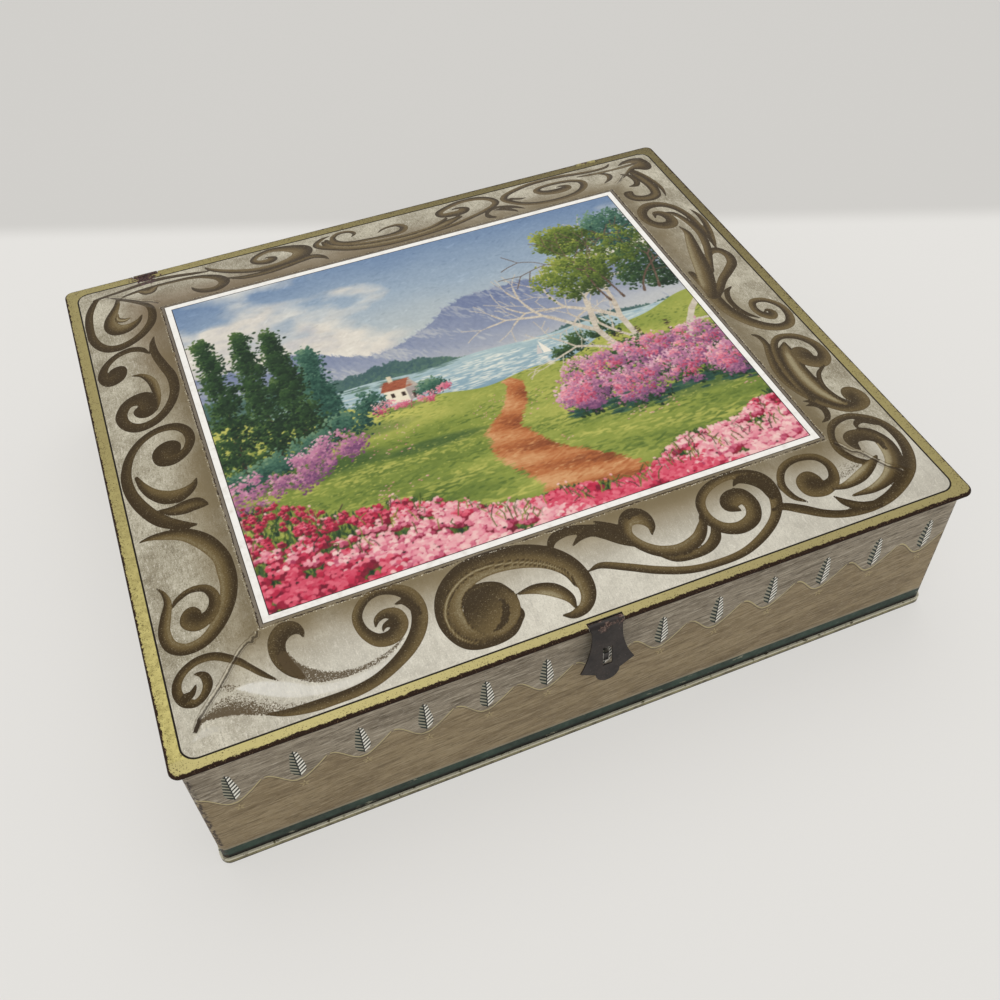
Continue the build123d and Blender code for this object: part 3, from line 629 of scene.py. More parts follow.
# Airbrushed shade in the print, and painted highlights on the silver: strength at the start and the end (below zero
# for a painted highlight), the denser side, and the middle line as above
airbrush = [
    (1.0, 0.3, -1, [(-153.2, -130.6, .3), (-150, -127.4, 1.1), (-145, -126, 2.6), (-139, -125.4, 4.2),
                    (-132, -127.8, 4.2), (-125, -131, 3.4), (-117, -133.4, 2.2), (-106, -134, 1.4)]),
    # painted highlights on the front slope, between the scrolls
    (-0.95, -0.4, 0, [(-135, -120.6, .8), (-128, -123, 2.6), (-119, -127, 3.2), (-110, -130.6, 2.2),
                      (-98, -132.2, 1.8), (-86, -131, 1.4), (-78, -127.6, .6)]),
    (-0.6, -0.3, 0, [(-154.4, -133.4, .6), (-149, -132, 1.8), (-142.6, -132.8, .8)]),
    (0.95, 0.7, 0, [(-116.4, -115, 2.6), (-113.6, -121, 3), (-108, -125.6, 2.8), (-101, -128.2, 1.9),
                    (-92, -128.9, 1.4), (-83, -127.6, 1.2), (-76, -124.6, .9), (-71, -121, .2)]),
    (0.6, 0.25, 1, [(-142.4, -115.6, .4), (-138.6, -119.6, 2.2), (-131, -124, 2.6), (-122, -127, 1.4)]),
    (0.5, 0.3, -1, [(112, -119, 1), (120, -116, 4), (128, -112, 4.5), (134, -109, 2)]),
    (0.4, 0.4, 1, [(120, -131, .5), (132, -128.5, 1.8), (141, -123, 2.2), (147, -114, 2.2), (148.6, -106, 1.4)]),
]


def airbrushAndHighlight(x, y):
    total = np.zeros(len(x))
    for start, end, denseSide, points in airbrush:
        line = scrollCurve(points)
        near, best, here, toLeft = alongLine(line, line[:, 2], line[:, 2].max() + 2, x, y)
        side = np.clip(toLeft / np.maximum(line[best, 2], 0.2), -1, 1)
        spray = start + (end - start) * best / len(line)
        spray = np.where(here > -0.3, spray * (0.72 + 0.4 * side * denseSide) * np.clip(here / 0.8 + 0.35, 0, 1), 0)
        total[near] = np.where(np.abs(spray) > np.abs(total[near]), spray, total[near])
    return total


def pointsOf(mesh):
    co = np.empty(len(mesh.vertices) * 3, "f")
    mesh.vertices.foreach_get("co", co)
    return co.reshape(-1, 3) / mm


# Picture: a lake in the hills, painted in opaque dabs from the sky to the near flowers. Places are in mm
# from the picture's lower left corner, and the canvas is painted at twice the size it is kept at.

painting = {
    "seed": 73,
    "width": 237.4,
    "height": 200.0,
    "spread": 238,
    "hillLine": 139,
    "lakeLine": 108,
    "meadowLine": 104,
    "pathEnd": 99,
    "sky": [(108, 136, 178), (160, 180, 202), (206, 212, 210)],
    "cloud": [(176, 180, 196), (232, 226, 218), (250, 246, 236)],
    "farHills": [(112, 126, 166), (150, 160, 186), (196, 200, 206)],
    "nearHills": [(66, 96, 104), (96, 128, 112), (150, 168, 120)],
    "water": [(120, 156, 184), (176, 200, 208), (236, 240, 234)],
    "meadow": [(86, 110, 46), (140, 156, 70), (196, 196, 104)],
    "earth": [(128, 66, 36), (186, 110, 62), (222, 172, 124)],
    "darkLeaf": [(24, 44, 30), (48, 78, 44), (92, 118, 62)],
    "warmLeaf": [(48, 66, 28), (104, 124, 48), (176, 182, 84)],
    "coolLeaf": [(28, 62, 56), (66, 108, 92), (128, 160, 128)],
    "lilac": [(112, 68, 112), (196, 128, 164), (240, 200, 214)],
    "crimson": [(116, 18, 44), (200, 40, 76), (240, 126, 146)],
    "blush": [(176, 60, 96), (232, 134, 158), (252, 216, 214)],
    "bark": [(52, 38, 34), (98, 78, 66), (222, 214, 200)],
    "cream": [(150, 142, 150), (226, 214, 190), (250, 244, 226)],
    "roof": [(92, 44, 40), (158, 84, 62), (206, 132, 96)],
}


def shade(tones, amount):  # a colour between a palette's dark, middle and light tones
    tones = np.array(painting[tones], float) / 255
    amount = np.clip(np.asarray(amount, float), 0, 1)[..., None]
    return np.where(amount < 0.5, tones[0] + (tones[1] - tones[0]) * amount * 2,
                    tones[1] + (tones[2] - tones[1]) * (amount * 2 - 1))


def paintPicture(columns, rows):
    wide, high = columns * 2, rows * 2
    scale = wide / painting["width"]
    dice = np.random.default_rng(painting["seed"])
    canvas = np.zeros((high, wide, 3))
    spread, hillLine, lakeLine, meadowLine, pathEnd = (
        painting[key] for key in ("spread", "hillLine", "lakeLine", "meadowLine", "pathEnd"))
    across, up = np.meshgrid(np.arange(wide) / scale, (high - 1 - np.arange(high)) / scale)
    stamps = {}

    def at(line, x):
        return line[min(int(x * scale), wide - 1)]

    def cloudy(size, octaves=4, stretch=1.0):  # soft noise, 0 to 1, over the whole canvas
        total = np.zeros((high, wide))
        weight = 0
        for octave in range(octaves):
            step = size / 2 ** octave
            gridX, gridY = int(painting["width"] / (step * stretch)) + 3, int(painting["height"] / step) + 3
            field = dice.random((gridY, gridX))
            fx, fy = across / (step * stretch), up / step
            ix, iy = fx.astype(int), fy.astype(int)
            tx, ty = fx - ix, fy - iy
            tx, ty = tx * tx * (3 - 2 * tx), ty * ty * (3 - 2 * ty)
            low = field[iy, ix] * (1 - tx) + field[iy, ix + 1] * tx
            top = field[iy + 1, ix] * (1 - tx) + field[iy + 1, ix + 1] * tx
            total += (low * (1 - ty) + top * ty) * 0.55 ** octave
            weight += 0.55 ** octave
        return total / weight

    def lay(mask, colour):
        nonlocal canvas
        canvas = canvas + (colour - canvas) * np.clip(mask, 0, 1)[..., None]

    def stamp(length, width, angle):
        key = (round(length * 2), round(width * 2), round(angle * 8 / math.pi))
        if key not in stamps:
            halfLong, halfWide, turn = max(key[0], 1) * scale / 4, max(key[1], 1) * scale / 4, key[2] * math.pi / 8
            reach = int(math.ceil(max(halfLong, halfWide))) + 1
            gx, gy = np.meshgrid(np.arange(-reach, reach + 1), np.arange(-reach, reach + 1))
            along = gx * math.cos(turn) - gy * math.sin(turn)
            side = gx * math.sin(turn) + gy * math.cos(turn)
            inside = 1 - np.sqrt((along / halfLong) ** 2 + (side / halfWide) ** 2)
            stamps[key] = (reach, np.clip(inside * min(halfLong, halfWide) + 0.5, 0, 1)[..., None])
        return stamps[key]

    def dab(x, y, length, width, angle, colour, strength=0.92):
        reach, mask = stamp(length, width, angle)
        column, row = int(x * scale), int(high - 1 - y * scale)
        left, top = max(column - reach, 0), max(row - reach, 0)
        right, bottom = min(column + reach + 1, wide), min(row + reach + 1, high)
        if left >= right or top >= bottom:
            return
        part = mask[top - row + reach:bottom - row + reach, left - column + reach:right - column + reach]
        canvas[top:bottom, left:right] += (colour - canvas[top:bottom, left:right]) * part * strength

    def stroke(points, widths, tones, amount):
        points = np.array(points, float)
        widths = np.interp(np.linspace(0, 1, len(points)), np.linspace(0, 1, len(widths)), widths)
        for (x0, y0), (x1, y1), w0, w1 in zip(points[:-1], points[1:], widths[:-1], widths[1:]):
            count = max(1, int(math.hypot(x1 - x0, y1 - y0) / 0.35))
            for t in np.arange(count) / count:
                colour = shade(tones, amount + dice.normal(0, 0.06))
                width = w0 + (w1 - w0) * t
                dab(x0 + (x1 - x0) * t, y0 + (y1 - y0) * t, width, width, 0, colour)

    def foliage(x, y, radiusX, radiusY, tones, clumps, size, fill=26, lean=0.0, light=(-0.55, 0.8)):
        spots = []
        while len(spots) < clumps:
            px, py = dice.uniform(-1, 1, 2)
            if px * px + py * py < 1:
                spots.append((px + lean * py, py))
        spots.sort(key=lambda spot: spot[0] * light[0] + spot[1] * light[1])
        for px, py in spots:
            centreX, centreY = x + px * radiusX, y + py * radiusY
            facing = 0.42 + 0.26 * (px * light[0] + py * light[1]) + dice.normal(0, 0.09)
            spread = size * dice.uniform(1.4, 2.6)
            for _ in range(fill):
                dx, dy = dice.normal(0, 0.5, 2)
                lit = facing + 0.34 * (dx * light[0] + dy * light[1]) + dice.normal(0, 0.1)
                length = size * dice.uniform(0.5, 1.15)
                dab(centreX + dx * spread, centreY + dy * spread, length, length * dice.uniform(0.45, 0.8),
                    dice.uniform(0, math.pi), shade(tones, lit))

    def branch(x, y, angle, length, width, tones, amount, depth):
        bend = dice.normal(0, 0.12)
        points = [(x, y)]
        for step in range(5):
            angle += bend / 2 + dice.normal(0, 0.05)
            x, y = x + math.cos(angle) * length / 5, y + math.sin(angle) * length / 5
            points.append((x, y))
        stroke(points, [width, width * 0.65], tones, amount)
        if depth:
            for turn in dice.uniform(0.25, 0.65, 2) * (1, -1):
                branch(x, y, angle + turn, length * dice.uniform(0.6, 0.8), width * 0.62, tones, amount, depth - 1)
            if dice.random() < 0.5:
                branch(*points[3], angle + dice.choice((-0.8, 0.8)), length * 0.5, width * 0.45, tones, amount,
                       depth - 1)

    # sky and clouds
    haze = cloudy(60, 5, 1.8)
    lay(np.ones_like(up), shade("sky", 1.15 - (up - 112) / 80 + (haze - 0.5) * 0.5))
    puffs = cloudy(34, 5, 1.9)
    pile = np.clip((puffs - 0.50 + 0.10 * np.sin(across / 38 + 0.6)) * 7, 0, 1)
    billows = cloudy(14, 4, 1.4)
    lay(pile * 0.9, shade("cloud", 0.35 + (billows - 0.4) * 1.3 + (up - 130) / 160))
    for _ in range(2600):
        x, y = dice.uniform(0, spread), dice.uniform(118, 200)
        column, row = min(int(x * scale), wide - 1), max(int(high - 1 - y * scale), 0)
        dab(x, y, dice.uniform(2, 5), dice.uniform(0.6, 1.3), dice.normal(0.25, 0.35),
            np.clip(canvas[row, column] + dice.normal(0, 0.028), 0, 1), 0.6)

    # far hills, in two ranges
    def ridge(level, swing, rough, phase):
        x = across[0]
        line = level + swing * np.sin(x / 31 + phase) + swing * 0.55 * np.sin(x / 13.7 + phase * 2.1)
        return line + rough * np.cumsum(dice.normal(0, 1, wide)) / math.sqrt(wide) * 1.6

    far = ridge(hillLine, 9, 5, 2)
    lay((far - up) * scale + 0.5, shade("farHills", 0.15 + (haze - 0.35) + (hillLine - up) / 40))
    for _ in range(1500):
        x = dice.uniform(0, spread)
        top = at(far, x)
        y = top - dice.exponential(9)
        lit = 0.25 + 0.5 * (math.sin(x / 5.3 + y / 3) > 0.1) + dice.normal(0, 0.1) + (hillLine - y) / 90
        dab(x, y, dice.uniform(2.5, 6), dice.uniform(0.6, 1.3), -0.95 + dice.normal(0, 0.25),
            shade("farHills", lit), 0.55)
    near = ridge(119, 5, 4, 0.4)
    lay((near - up) * scale + 0.5, shade("nearHills", 0.3 + (haze - 0.4) * 0.8 + (118 - up) / 60))
    for _ in range(2600):
        x = dice.uniform(0, spread)
        y = at(near, x) - dice.exponential(5) + 0.6
        dab(x, y, dice.uniform(1, 2.4), dice.uniform(0.8, 1.8), 1.4 + dice.normal(0, 0.5),
            shade("nearHills", dice.uniform(0, 0.75) * (0.6 + 0.4 * math.sin(x / 17))), 0.8)

    # lake
    shoreBack = lakeLine + 0.8 * np.sin(across / 9)
    lay((shoreBack - up) * scale + 0.5, shade("water", 0.62 - (lakeLine - up) / 46 + (haze - 0.5) * 0.5))
    for _ in range(900):
        x, y = dice.uniform(0, spread), dice.uniform(86, 107.5)
        mirrored = at(near, x) - lakeLine
        if lakeLine - y < mirrored * 0.8 * dice.uniform(0.4, 1.1):
            colour = shade("nearHills", dice.uniform(0.1, 0.7))
        else:
            colour = shade("water", dice.uniform(0.2, 1))
        dab(x, y, dice.uniform(2.5, 9), dice.uniform(0.4, 0.8), dice.normal(0, 0.03), colour, 0.75)
    for _ in range(230):
        dab(dice.normal(128, 24), dice.uniform(87, 104), dice.uniform(1.5, 5), 0.45, 0,
            shade("water", 1), 0.9)

    # shore and meadow
    shore = 92 + 5 * np.sin(across / 33 + 0.9) + 1.3 * np.sin(across / 7)
    shore = shore + 13 * np.clip((across - 165) / 70, 0, 1) + 12 * np.clip((70 - across) / 70, 0, 1)
    rolling = cloudy(22, 4, 3.5)
    lay((shore - up) * scale + 0.5, shade("meadow", 0.55 + (rolling - 0.5) * 1.5 - (70 - up) / 160))
    shoreLine = shore[0]
    for _ in range(7000):
        x = dice.uniform(0, spread)
        y = dice.uniform(20, meadowLine)
        if y > at(shoreLine, x) - 0.3:
            continue
        band = 0.5 + 0.32 * math.sin(y / 3.1 + 1.5 * math.sin(x / 29) + x / 61)
        grow = 0.5 + (meadowLine - y) / 70
        dab(x, y, dice.uniform(1.6, 3.6) * grow, dice.uniform(0.4, 0.8) * grow, dice.normal(0.05, 0.16),
            shade("meadow", band + dice.normal(0, 0.16)), 0.8)

    for x, y, rx, ry in ((62, 80, 30, 5), (34, 66, 34, 6), (196, 48, 44, 5), (88, 62, 24, 3), (84, 88, 16, 2),
                         (205, 84, 30, 4)):
        away = ((across - x) / rx) ** 2 + ((up - y) / ry) ** 2 + (rolling - 0.5) * 1.4
        lay(np.clip(1.15 - away, 0, 1) * 0.6, shade("darkLeaf", 0.55))
    for _ in range(1500):
        x, y = dice.uniform(0, spread), dice.uniform(40, 90)
        if y < at(shoreLine, x) - 3:
            tones = "blush" if math.sin(x / 9) + math.sin(y / 5) > 0.6 else "meadow"
            dab(x, y, 0.9 * (1.5 - y / 100), 0.6 * (1.5 - y / 100), 0, shade(tones, dice.uniform(0.5, 1)), 0.85)

    # path, from the near edge to the shore
    plan = np.array([(0, 150, 26), (22, 141, 17), (42, 122, 11), (58, 118, 7.2), (70, 129, 5), (82, 134, 3.2),
                     (92, 127, 1.9), (pathEnd, 122, 0.8)])  # height, middle and half-width
    bendX, halfPath = (np.interp(up[:, 0], plan[:, 0], plan[:, column]) for column in (1, 2))
    wobble = (cloudy(5, 3, 2.2) - 0.5) * np.interp(up[:, 0], [0, pathEnd], [11, 1.6])[:, None]
    pathMask = (halfPath[:, None] - np.abs(across - bendX[:, None]) + wobble) * scale + 0.5
    pathMask = np.clip(pathMask, 0, 1) * (up < shore - 0.5)
    lay(pathMask, shade("earth", 0.62 + (rolling - 0.5) * 1.2))
    for _ in range(3600):
        y = pathEnd * dice.random() ** 1.25
        row = int(high - 1 - y * scale)
        x = bendX[row] + halfPath[row] * dice.uniform(-1.1, 1.1)
        if y > at(shoreLine, x) - 1:
            continue
        grow = 0.35 + (pathEnd - y) / 80
        side = (x - bendX[row]) / halfPath[row]
        dab(x, y, dice.uniform(1.5, 4.5) * grow, dice.uniform(0.4, 0.9) * grow, dice.normal(0.08, 0.14),
            shade("earth", 0.55 + 0.25 * math.sin(y / 2.6 + side) - 0.22 * side + dice.normal(0, 0.13)), 0.75)

    # cottage by the water
    def block(corners, tones, amount):
        corners = np.array(corners, float)
        inside = np.full((high, wide), 9.0)
        for (x0, y0), (x1, y1) in zip(corners, np.roll(corners, -1, 0)):
            side = math.hypot(x1 - x0, y1 - y0)
            inside = np.minimum(inside, ((x1 - x0) * (up - y0) - (y1 - y0) * (across - x0)) / side)
        lay(inside * scale + 0.5, shade(tones, amount))

    block([(78, 92), (88, 91), (88, 100), (78, 101)], "cream", 0.87)
    block([(88, 91), (93.5, 92.4), (93.5, 100), (90.7, 105), (88, 100)], "cream", 0.15)
    block([(76.8, 100.4), (88, 99.4), (90.9, 105.6), (80, 106.4)], "roof", 0.59)
    block([(88, 99.4), (94.3, 99.4), (90.9, 105.6)], "cream", 0.27)
    block([(82, 105), (84.2, 105), (84.2, 109.4), (82, 109.6)], "cream", 0.52)
    for x, y in ((80.6, 95.4), (85.4, 94.9)):
        block([(x, y), (x + 1.7, y - 0.1), (x + 1.7, y + 2.6), (x, y + 2.7)], "bark", 0.09)
    block([(90, 92), (91.8, 92.4), (91.8, 96.6), (90, 96.4)], "bark", 0.17)
    for _ in range(110):
        dab(dice.uniform(78, 91), dice.uniform(99.8, 105.8), 2.2, 0.5, 0.1, shade("roof", dice.uniform(0.2, 1)), 0.5)

    # a small sail on the water
    block([(150, 95.4), (157.5, 95.4), (156, 94), (151.4, 94)], "bark", 0.32)
    block([(153.6, 96), (157.6, 96), (154, 105)], "cloud", 0.97)
    block([(150.2, 96.4), (153.2, 96), (153.2, 103)], "cloud", 0.32)
    for _ in range(26):
        dab(153.5 + dice.normal(0, 1.4), dice.uniform(87, 93.6), dice.uniform(1.5, 3.5), 0.45, 0,
            shade("cloud", 1), 0.7)

    # bushes round the cottage and along the far shore
    for x, y, r in ((72, 96, 5), (66, 99, 6), (97, 95, 4), (101, 96.5, 3), (163, 93, 4), (173, 97, 5), (184, 101, 6)):
        foliage(x, y, r * 1.3, r, "coolLeaf" if x < 150 else "darkLeaf", 14, 1.5, 20)
    for x, y, r in ((75, 91.6, 3), (84, 89.8, 2.4), (95, 90, 2.6), (104, 93, 2.6)):
        foliage(x, y, r * 1.6, r * 0.8, "blush", 10, 1.1, 14)

    # tall trees on the left
    for x, y, r, height, tones in ((52, 92, 8, 34, "coolLeaf"), (40, 92, 8, 47, "darkLeaf"),
                                   (27, 84, 10, 56, "darkLeaf"), (11, 80, 12, 60, "darkLeaf")):
        stroke([(x, y - 12), (x + 0.5, y + height * 0.5), (x, y + height * 1.3)], [2.6, 1.6, 0.5], "bark", 0.1)
        levels = 11
        for level in range(levels):
            t = level / (levels - 1)
            span = r * (1 - 0.82 * t) * (1 + 0.22 * math.sin(level * 2.4 + x))
            foliage(x + dice.normal(0, 0.8), y + height * 1.38 * t, span, height * 0.10, tones, 15, 1.9, 20)
    for x, y in ((60, 90), (30, 78), (6, 72), (44, 82), (18, 74)):
        foliage(x, y, 9, 6, "coolLeaf", 22, 1.9, 18)

    # birches on the right, thin leaves over open branches
    for x, lean, height in ((201, 1.66, 66), (213, 1.47, 74), (192, 1.78, 60)):
        branch(x, 62, lean, height * 0.66, 4.2, "bark", 0.95, 4)
        for _ in range(70):
            dab(x + (0.5 - dice.random()) * 1.2 + math.cos(lean) * 20 * dice.random(), 62 + dice.random() * 34,
                dice.uniform(0.8, 2), 0.5, dice.normal(0, 0.2), shade("bark", dice.uniform(0, 0.3)), 0.8)
    for x, y, rx, ry, tones in ((208, 158, 24, 20, "warmLeaf"), (188, 141, 19, 15, "warmLeaf"),
                                (226, 136, 16, 19, "darkLeaf"), (223, 172, 15, 15, "coolLeaf"),
                                (196, 172, 15, 10, "warmLeaf")):
        foliage(x, y, rx, ry, tones, 96, 1.8, 20)
    for x, lean in ((203, 1.62), (214, 1.4), (196, 1.9), (222, 1.2)):
        branch(x + 2, 118, lean, 26, 1.3, "bark", 0.5, 3)
    for x, y, rx, ry in ((206, 152, 22, 17), (190, 145, 16, 12), (222, 158, 14, 16)):
        foliage(x, y, rx, ry, "warmLeaf", 34, 1.5, 15)

    # flowering shrubs right of the path, with blue shade under them
    for x, y, rx, ry in ((222, 74, 17, 13), (196, 77, 17, 13), (170, 74, 17, 12), (209, 62, 18, 11),
                         (182, 60, 17, 11), (158, 62, 10, 8), (231, 58, 12, 10)):
        for _ in range(60):
            dab(x + dice.normal(0, rx * 0.55), y - ry * 0.9 + dice.normal(0, 1.6), dice.uniform(3, 8), 1.3, 0,
                shade("coolLeaf", dice.uniform(0, 0.35)), 0.8)
        foliage(x, y - 1, rx, ry, "darkLeaf", 26, 2.0, 14)
        foliage(x, y + 1, rx * 0.97, ry * 0.95, "lilac", 60, 1.6, 22)
        foliage(x - 2, y + 3, rx * 0.8, ry * 0.7, "blush", 18, 1.4, 12)
    for x, y, rx, ry in ((50, 76, 12, 8), (33, 68, 13, 9), (10, 64, 14, 10)):
        foliage(x, y, rx, ry, "lilac", 40, 1.6, 20)

    # near flowers, larger towards the lower edge
    def flowerEdge(x):
        return 12 + 43 * max(0, 1 - x / 118) ** 0.9 + 20 * max(0, (x - 168) / 70) ** 0.8 + 3 * math.sin(x / 9)

    for _ in range(5200):
        x = dice.uniform(-2, 240)
        y = flowerEdge(x) * dice.uniform(-0.05, 1.04)
        grow = 0.8 + (56 - y) / 60
        dab(x, y, dice.uniform(2, 4.5) * grow, dice.uniform(0.5, 1.1) * grow, math.pi / 2 + dice.normal(0, 0.35),
            shade("darkLeaf" if dice.random() < 0.6 else "warmLeaf", dice.uniform(0, 0.75)), 0.9)
    heads = []
    for _ in range(1900):
        x = dice.uniform(-2, 240)
        heads.append((x, flowerEdge(x) * dice.uniform(-0.02, 1.06)))
    heads.sort(key=lambda head: -head[1])
    for x, y in heads:
        size = (1.2 + 2.3 * np.clip((58 - y) / 58, 0, 1)) * dice.uniform(0.75, 1.2)
        patch = math.sin(x / 21 + 0.7) + math.sin(y / 7 + x / 23)
        if math.sin(x / 8.3 + y / 3.1) + math.sin(x / 5.1 - y / 4.3 + 1) > 1.25:
            continue
        tones = "crimson" if patch + dice.normal(0, 0.5) > 0.1 else "blush"
        if dice.random() < 0.3:
            dab(x, y - size * 1.6, size * 2.6, 0.5, math.pi / 2 + dice.normal(0, 0.15),
                shade("warmLeaf", dice.uniform(0.1, 0.8)))
        dab(x + size * 0.3, y - size * 0.5, size * 1.9, size * 1.1, 0, shade("crimson", dice.uniform(0, 0.3)), 0.8)
        for petal in range(5):
            angle = petal * 1.2566 + dice.normal(0, 0.35)
            lit = 0.5 + 0.34 * math.sin(angle) - 0.18 * math.cos(angle) + dice.normal(0, 0.13)
            dab(x + math.cos(angle) * size * 0.5, y + math.sin(angle) * size * 0.36, size * 1.0, size * 0.66, angle,
                shade(tones, lit))
        if dice.random() < 0.45:
            dab(x, y, size * 0.42, size * 0.34, 0, shade("bark" if dice.random() < 0.5 else tones, 0.05))
    for _ in range(150):
        x = dice.uniform(0, spread)
        y = flowerEdge(x) * dice.uniform(0.45, 1.0)
        points = [(x, y), (x + dice.normal(0, 1), y + dice.uniform(2, 4)),
                  (x + dice.normal(0, 2), y + dice.uniform(4, 7))]
        stroke(points, [0.7, 0.4], "warmLeaf" if dice.random() < 0.6 else "bark", dice.uniform(0.1, 0.9))
        if dice.random() < 0.5:
            dab(*points[-1], 1.6, 1.1, dice.uniform(0, 3), shade("blush", dice.uniform(0.5, 1)))

    # a little canvas grain, then down to the size that is kept
    canvas += (cloudy(1.1, 2)[..., None] - 0.5) * 0.05
    return np.clip(canvas, 0, 1).reshape(rows, 2, columns, 2, 3).mean((1, 3))


# Lid material: silver field with painted scrolls, gold border, white picture frame

def lidMaterial():
    material, tree, shader = newMaterial("printedTin", Roughness=0.4, Specular_IOR_Level=0.12)
    place, (x, y, z) = objectPlace(tree)
    absX, absY = abs(x), abs(y)
    outside = attribute(tree, "outside")
    toEdge = calc("MINIMUM", lid["halfX"] - absX, lid["halfY"] - absY)
    broad = noise(place, 22, 6, 0.6)
    fine = noise(place, 260, 6, 0.7)
    crisp = noise(place, 900, 3, 0.6)
    grit = noise(place, 1900, 2, 0.6)

    # silver, mottled, browner near the picture
    silver = blend(smooth(noise(place, 48, 9, 0.72), 0.34, 0.66), (144, 135, 113), (196, 189, 168))
    drag = noise(stretched(place, 1500, 330, 330), 1, 4, 0.65, 0.6)
    silver = marked(silver, (drag, 0.55, 0.68, 0.55, (98, 89, 69)), (drag, 0.45, 0.32, 0.55, (226, 219, 202)),
                    (fine, 0.52, 0.7, 0.45, (122, 113, 92)), (grit, 0.56, 0.68, 0.5, (90, 81, 62)),
                    (grit, 0.44, 0.32, 0.45, (228, 222, 206)))
    # painted sheen: the front slope is drawn lighter, more so towards its middle, where it catches the light
    paintedFrontSheen = smooth(y, -98, -112) * smooth(x, -150, -90, 0.35, 0.8)
    silver = blend(paintedFrontSheen * 0.6, silver, (212, 208, 197))
    brown = smooth(toEdge, 19, 42) * smooth(broad, 0.3, 0.6, 0.55, 0.95)
    silver = blend(brown, silver, (122, 107, 76))
    worn = smooth(y - x * 0.3, 60, 150) * smooth(toEdge, 16, 36, 0, 0.5)
    silver = blend(worn, silver, (118, 98, 76))
    silver = blend(smooth(toEdge, 34, 43, 0, 0.35), silver, (96, 84, 62))
    spots = useGroup(specks, place, Scale=170, Amount=0.4)
    silver = blend(spots * 0.75, silver, (70, 62, 50))

    # scrolls, dark at one edge and fading to the other
    depth = attribute(tree, "inkDepth")
    lightness = attribute(tree, "inkLight")
    dust = (grit - 0.5) * 1.1 + (crisp - 0.5) * 0.5
    grainy = lightness + dust * 0.45
    ink = blend(smooth(grainy, 0, 0.6), (56, 43, 22), (102, 85, 52))
    ink = blend(smooth(grainy, 0.5, 1.05), ink, (154, 142, 110))
    ink = marked(ink, (fine, 0.55, 0.75, 0.3, (44, 34, 22)), (grit, 0.62, 0.7, 0.45, (150, 138, 112)))
    sprayAndHighlight = attribute(tree, "sprayAndHighlight")
    # painted highlight: the strokes below zero lighten the silver almost to white where the front slope shines
    paintedHighlight = sprayAndHighlight * -1 + dust * 0.5
    silver = blend(smooth(paintedHighlight, 0.05, 1, 0, 0.7), silver, (224, 222, 216))
    base = blend(smooth(depth, -0.02, 0.2), silver, ink)
    dusty = smooth(sprayAndHighlight + dust, 0.3, 0.62)
    base = blend(dusty * smooth(sprayAndHighlight, 0.02, 0.2, 0, 0.92), base, (78, 63, 40))

    # folded corners, where the print has cracked
    distance = attribute(tree, "foldDistance") + (crisp - 0.5) * 0.9
    strength = attribute(tree, "foldStrength")
    cracked = smooth(strength + (fine - 0.5) * 1.2, 0.25, 0.45) * smooth(strength, 0, 0.15)
    flaking = smooth(noise(place, 150, 3), 0.44, 0.56)
    for low, high, colour, chance in ((0.4, 0.8, (184, 175, 153), flaking), (-0.55, 0.42, (54, 43, 30), 1),
                                      (1.0, 1.4, (78, 65, 46), 0.7), (-1.3, -0.9, (92, 79, 58), 0.7)):
        mask = bandMask(distance, low, high, 0.12) * cracked * chance
        base = blend(mask * 0.75, base, colour)
    gouge = smooth(x, -149.5, -150.5) * smooth(abs(distance), 0.7, 1, 1, 0)
    base = blend(gouge * smooth(strength, 0, 0.15), base, (56, 46, 34))

    # gold border inside a thin dark line, worn to rust at its outer edge, with painted shade under the curl
    inFront = smooth(y, -110, -100, 1, 0)
    cornerX = calc("MAXIMUM", absX - (lid["footX"] - lid["goldInset"]), 0)
    cornerY = calc("MAXIMUM", absY - inFront * 0.8 - (lid["footY"] - lid["goldInset"]), 0)
    beyond = hypot(cornerX, cornerY) - lid["goldCorner"]
    gold = blend(smooth(noise(place, 420, 6, 0.7), 0.34, 0.6), (164, 152, 92), (196, 184, 116))
    gold = blend(inFront * smooth(y, -138, -139), gold, (184, 172, 114))
    away = y * 0.8 + x * 0.6
    pitted = grit + smooth(beyond, 1.5, 4.6, 0, 0.05) + smooth(away, 0, 160, 0, 0.05)
    gold = marked(gold, (away, -190, -60, 0.8, (144, 132, 88)), (away, 20, 170, 0.85, (106, 95, 60)),
                  (pitted, 0.62, 0.68, 0.85, (66, 52, 28)))
    base = blend(smooth(beyond, -0.1, 0.1), base, gold)
    base = blend(bandMask(beyond, -0.5, 0.24, 0.08), base, (28, 22, 14))
    outX = calc("MAXIMUM", absX - (lid["halfX"] - lid["cornerRadius"]), 0)
    outY = calc("MAXIMUM", absY - (lid["halfY"] - lid["cornerRadius"]), 0)
    fray = (noise(place, 380, 8, 0.8) - 0.5) * 3.6
    ragged = hypot(outX, outY) - lid["cornerRadius"] + fray + (inFront * 0.15 + smooth(away, 20, 170, 0, 0.35))
    base = blend(smooth(ragged, -1, -0.86), base, (44, 29, 19))
    base = blend(smooth(ragged, -0.9, -0.8) * smooth(grit, 0.64, 0.7), base, (128, 104, 78))
    # painted shade: the curl below its widest point is darkened, for worn paint and the shade on its underside
    low = z + (fine - 0.5) * 1.4
    base = blend(smooth(low, 75.3, 75.6, 1, 0) * smooth(beyond, 3, 3.4), base, (38, 25, 18))

    # rust where the left strap has rubbed
    blot = noise(place, 170, 6, 0.7)
    rustPatch = bandMask(x + blot * 28, -115.6, -104.8, 0.3) * smooth(y + blot * 30, 150.6, 151.2)
    base = blend(rustPatch, base, blend(smooth(crisp, 0.4, 0.6), (38, 24, 24), (84, 60, 56)))

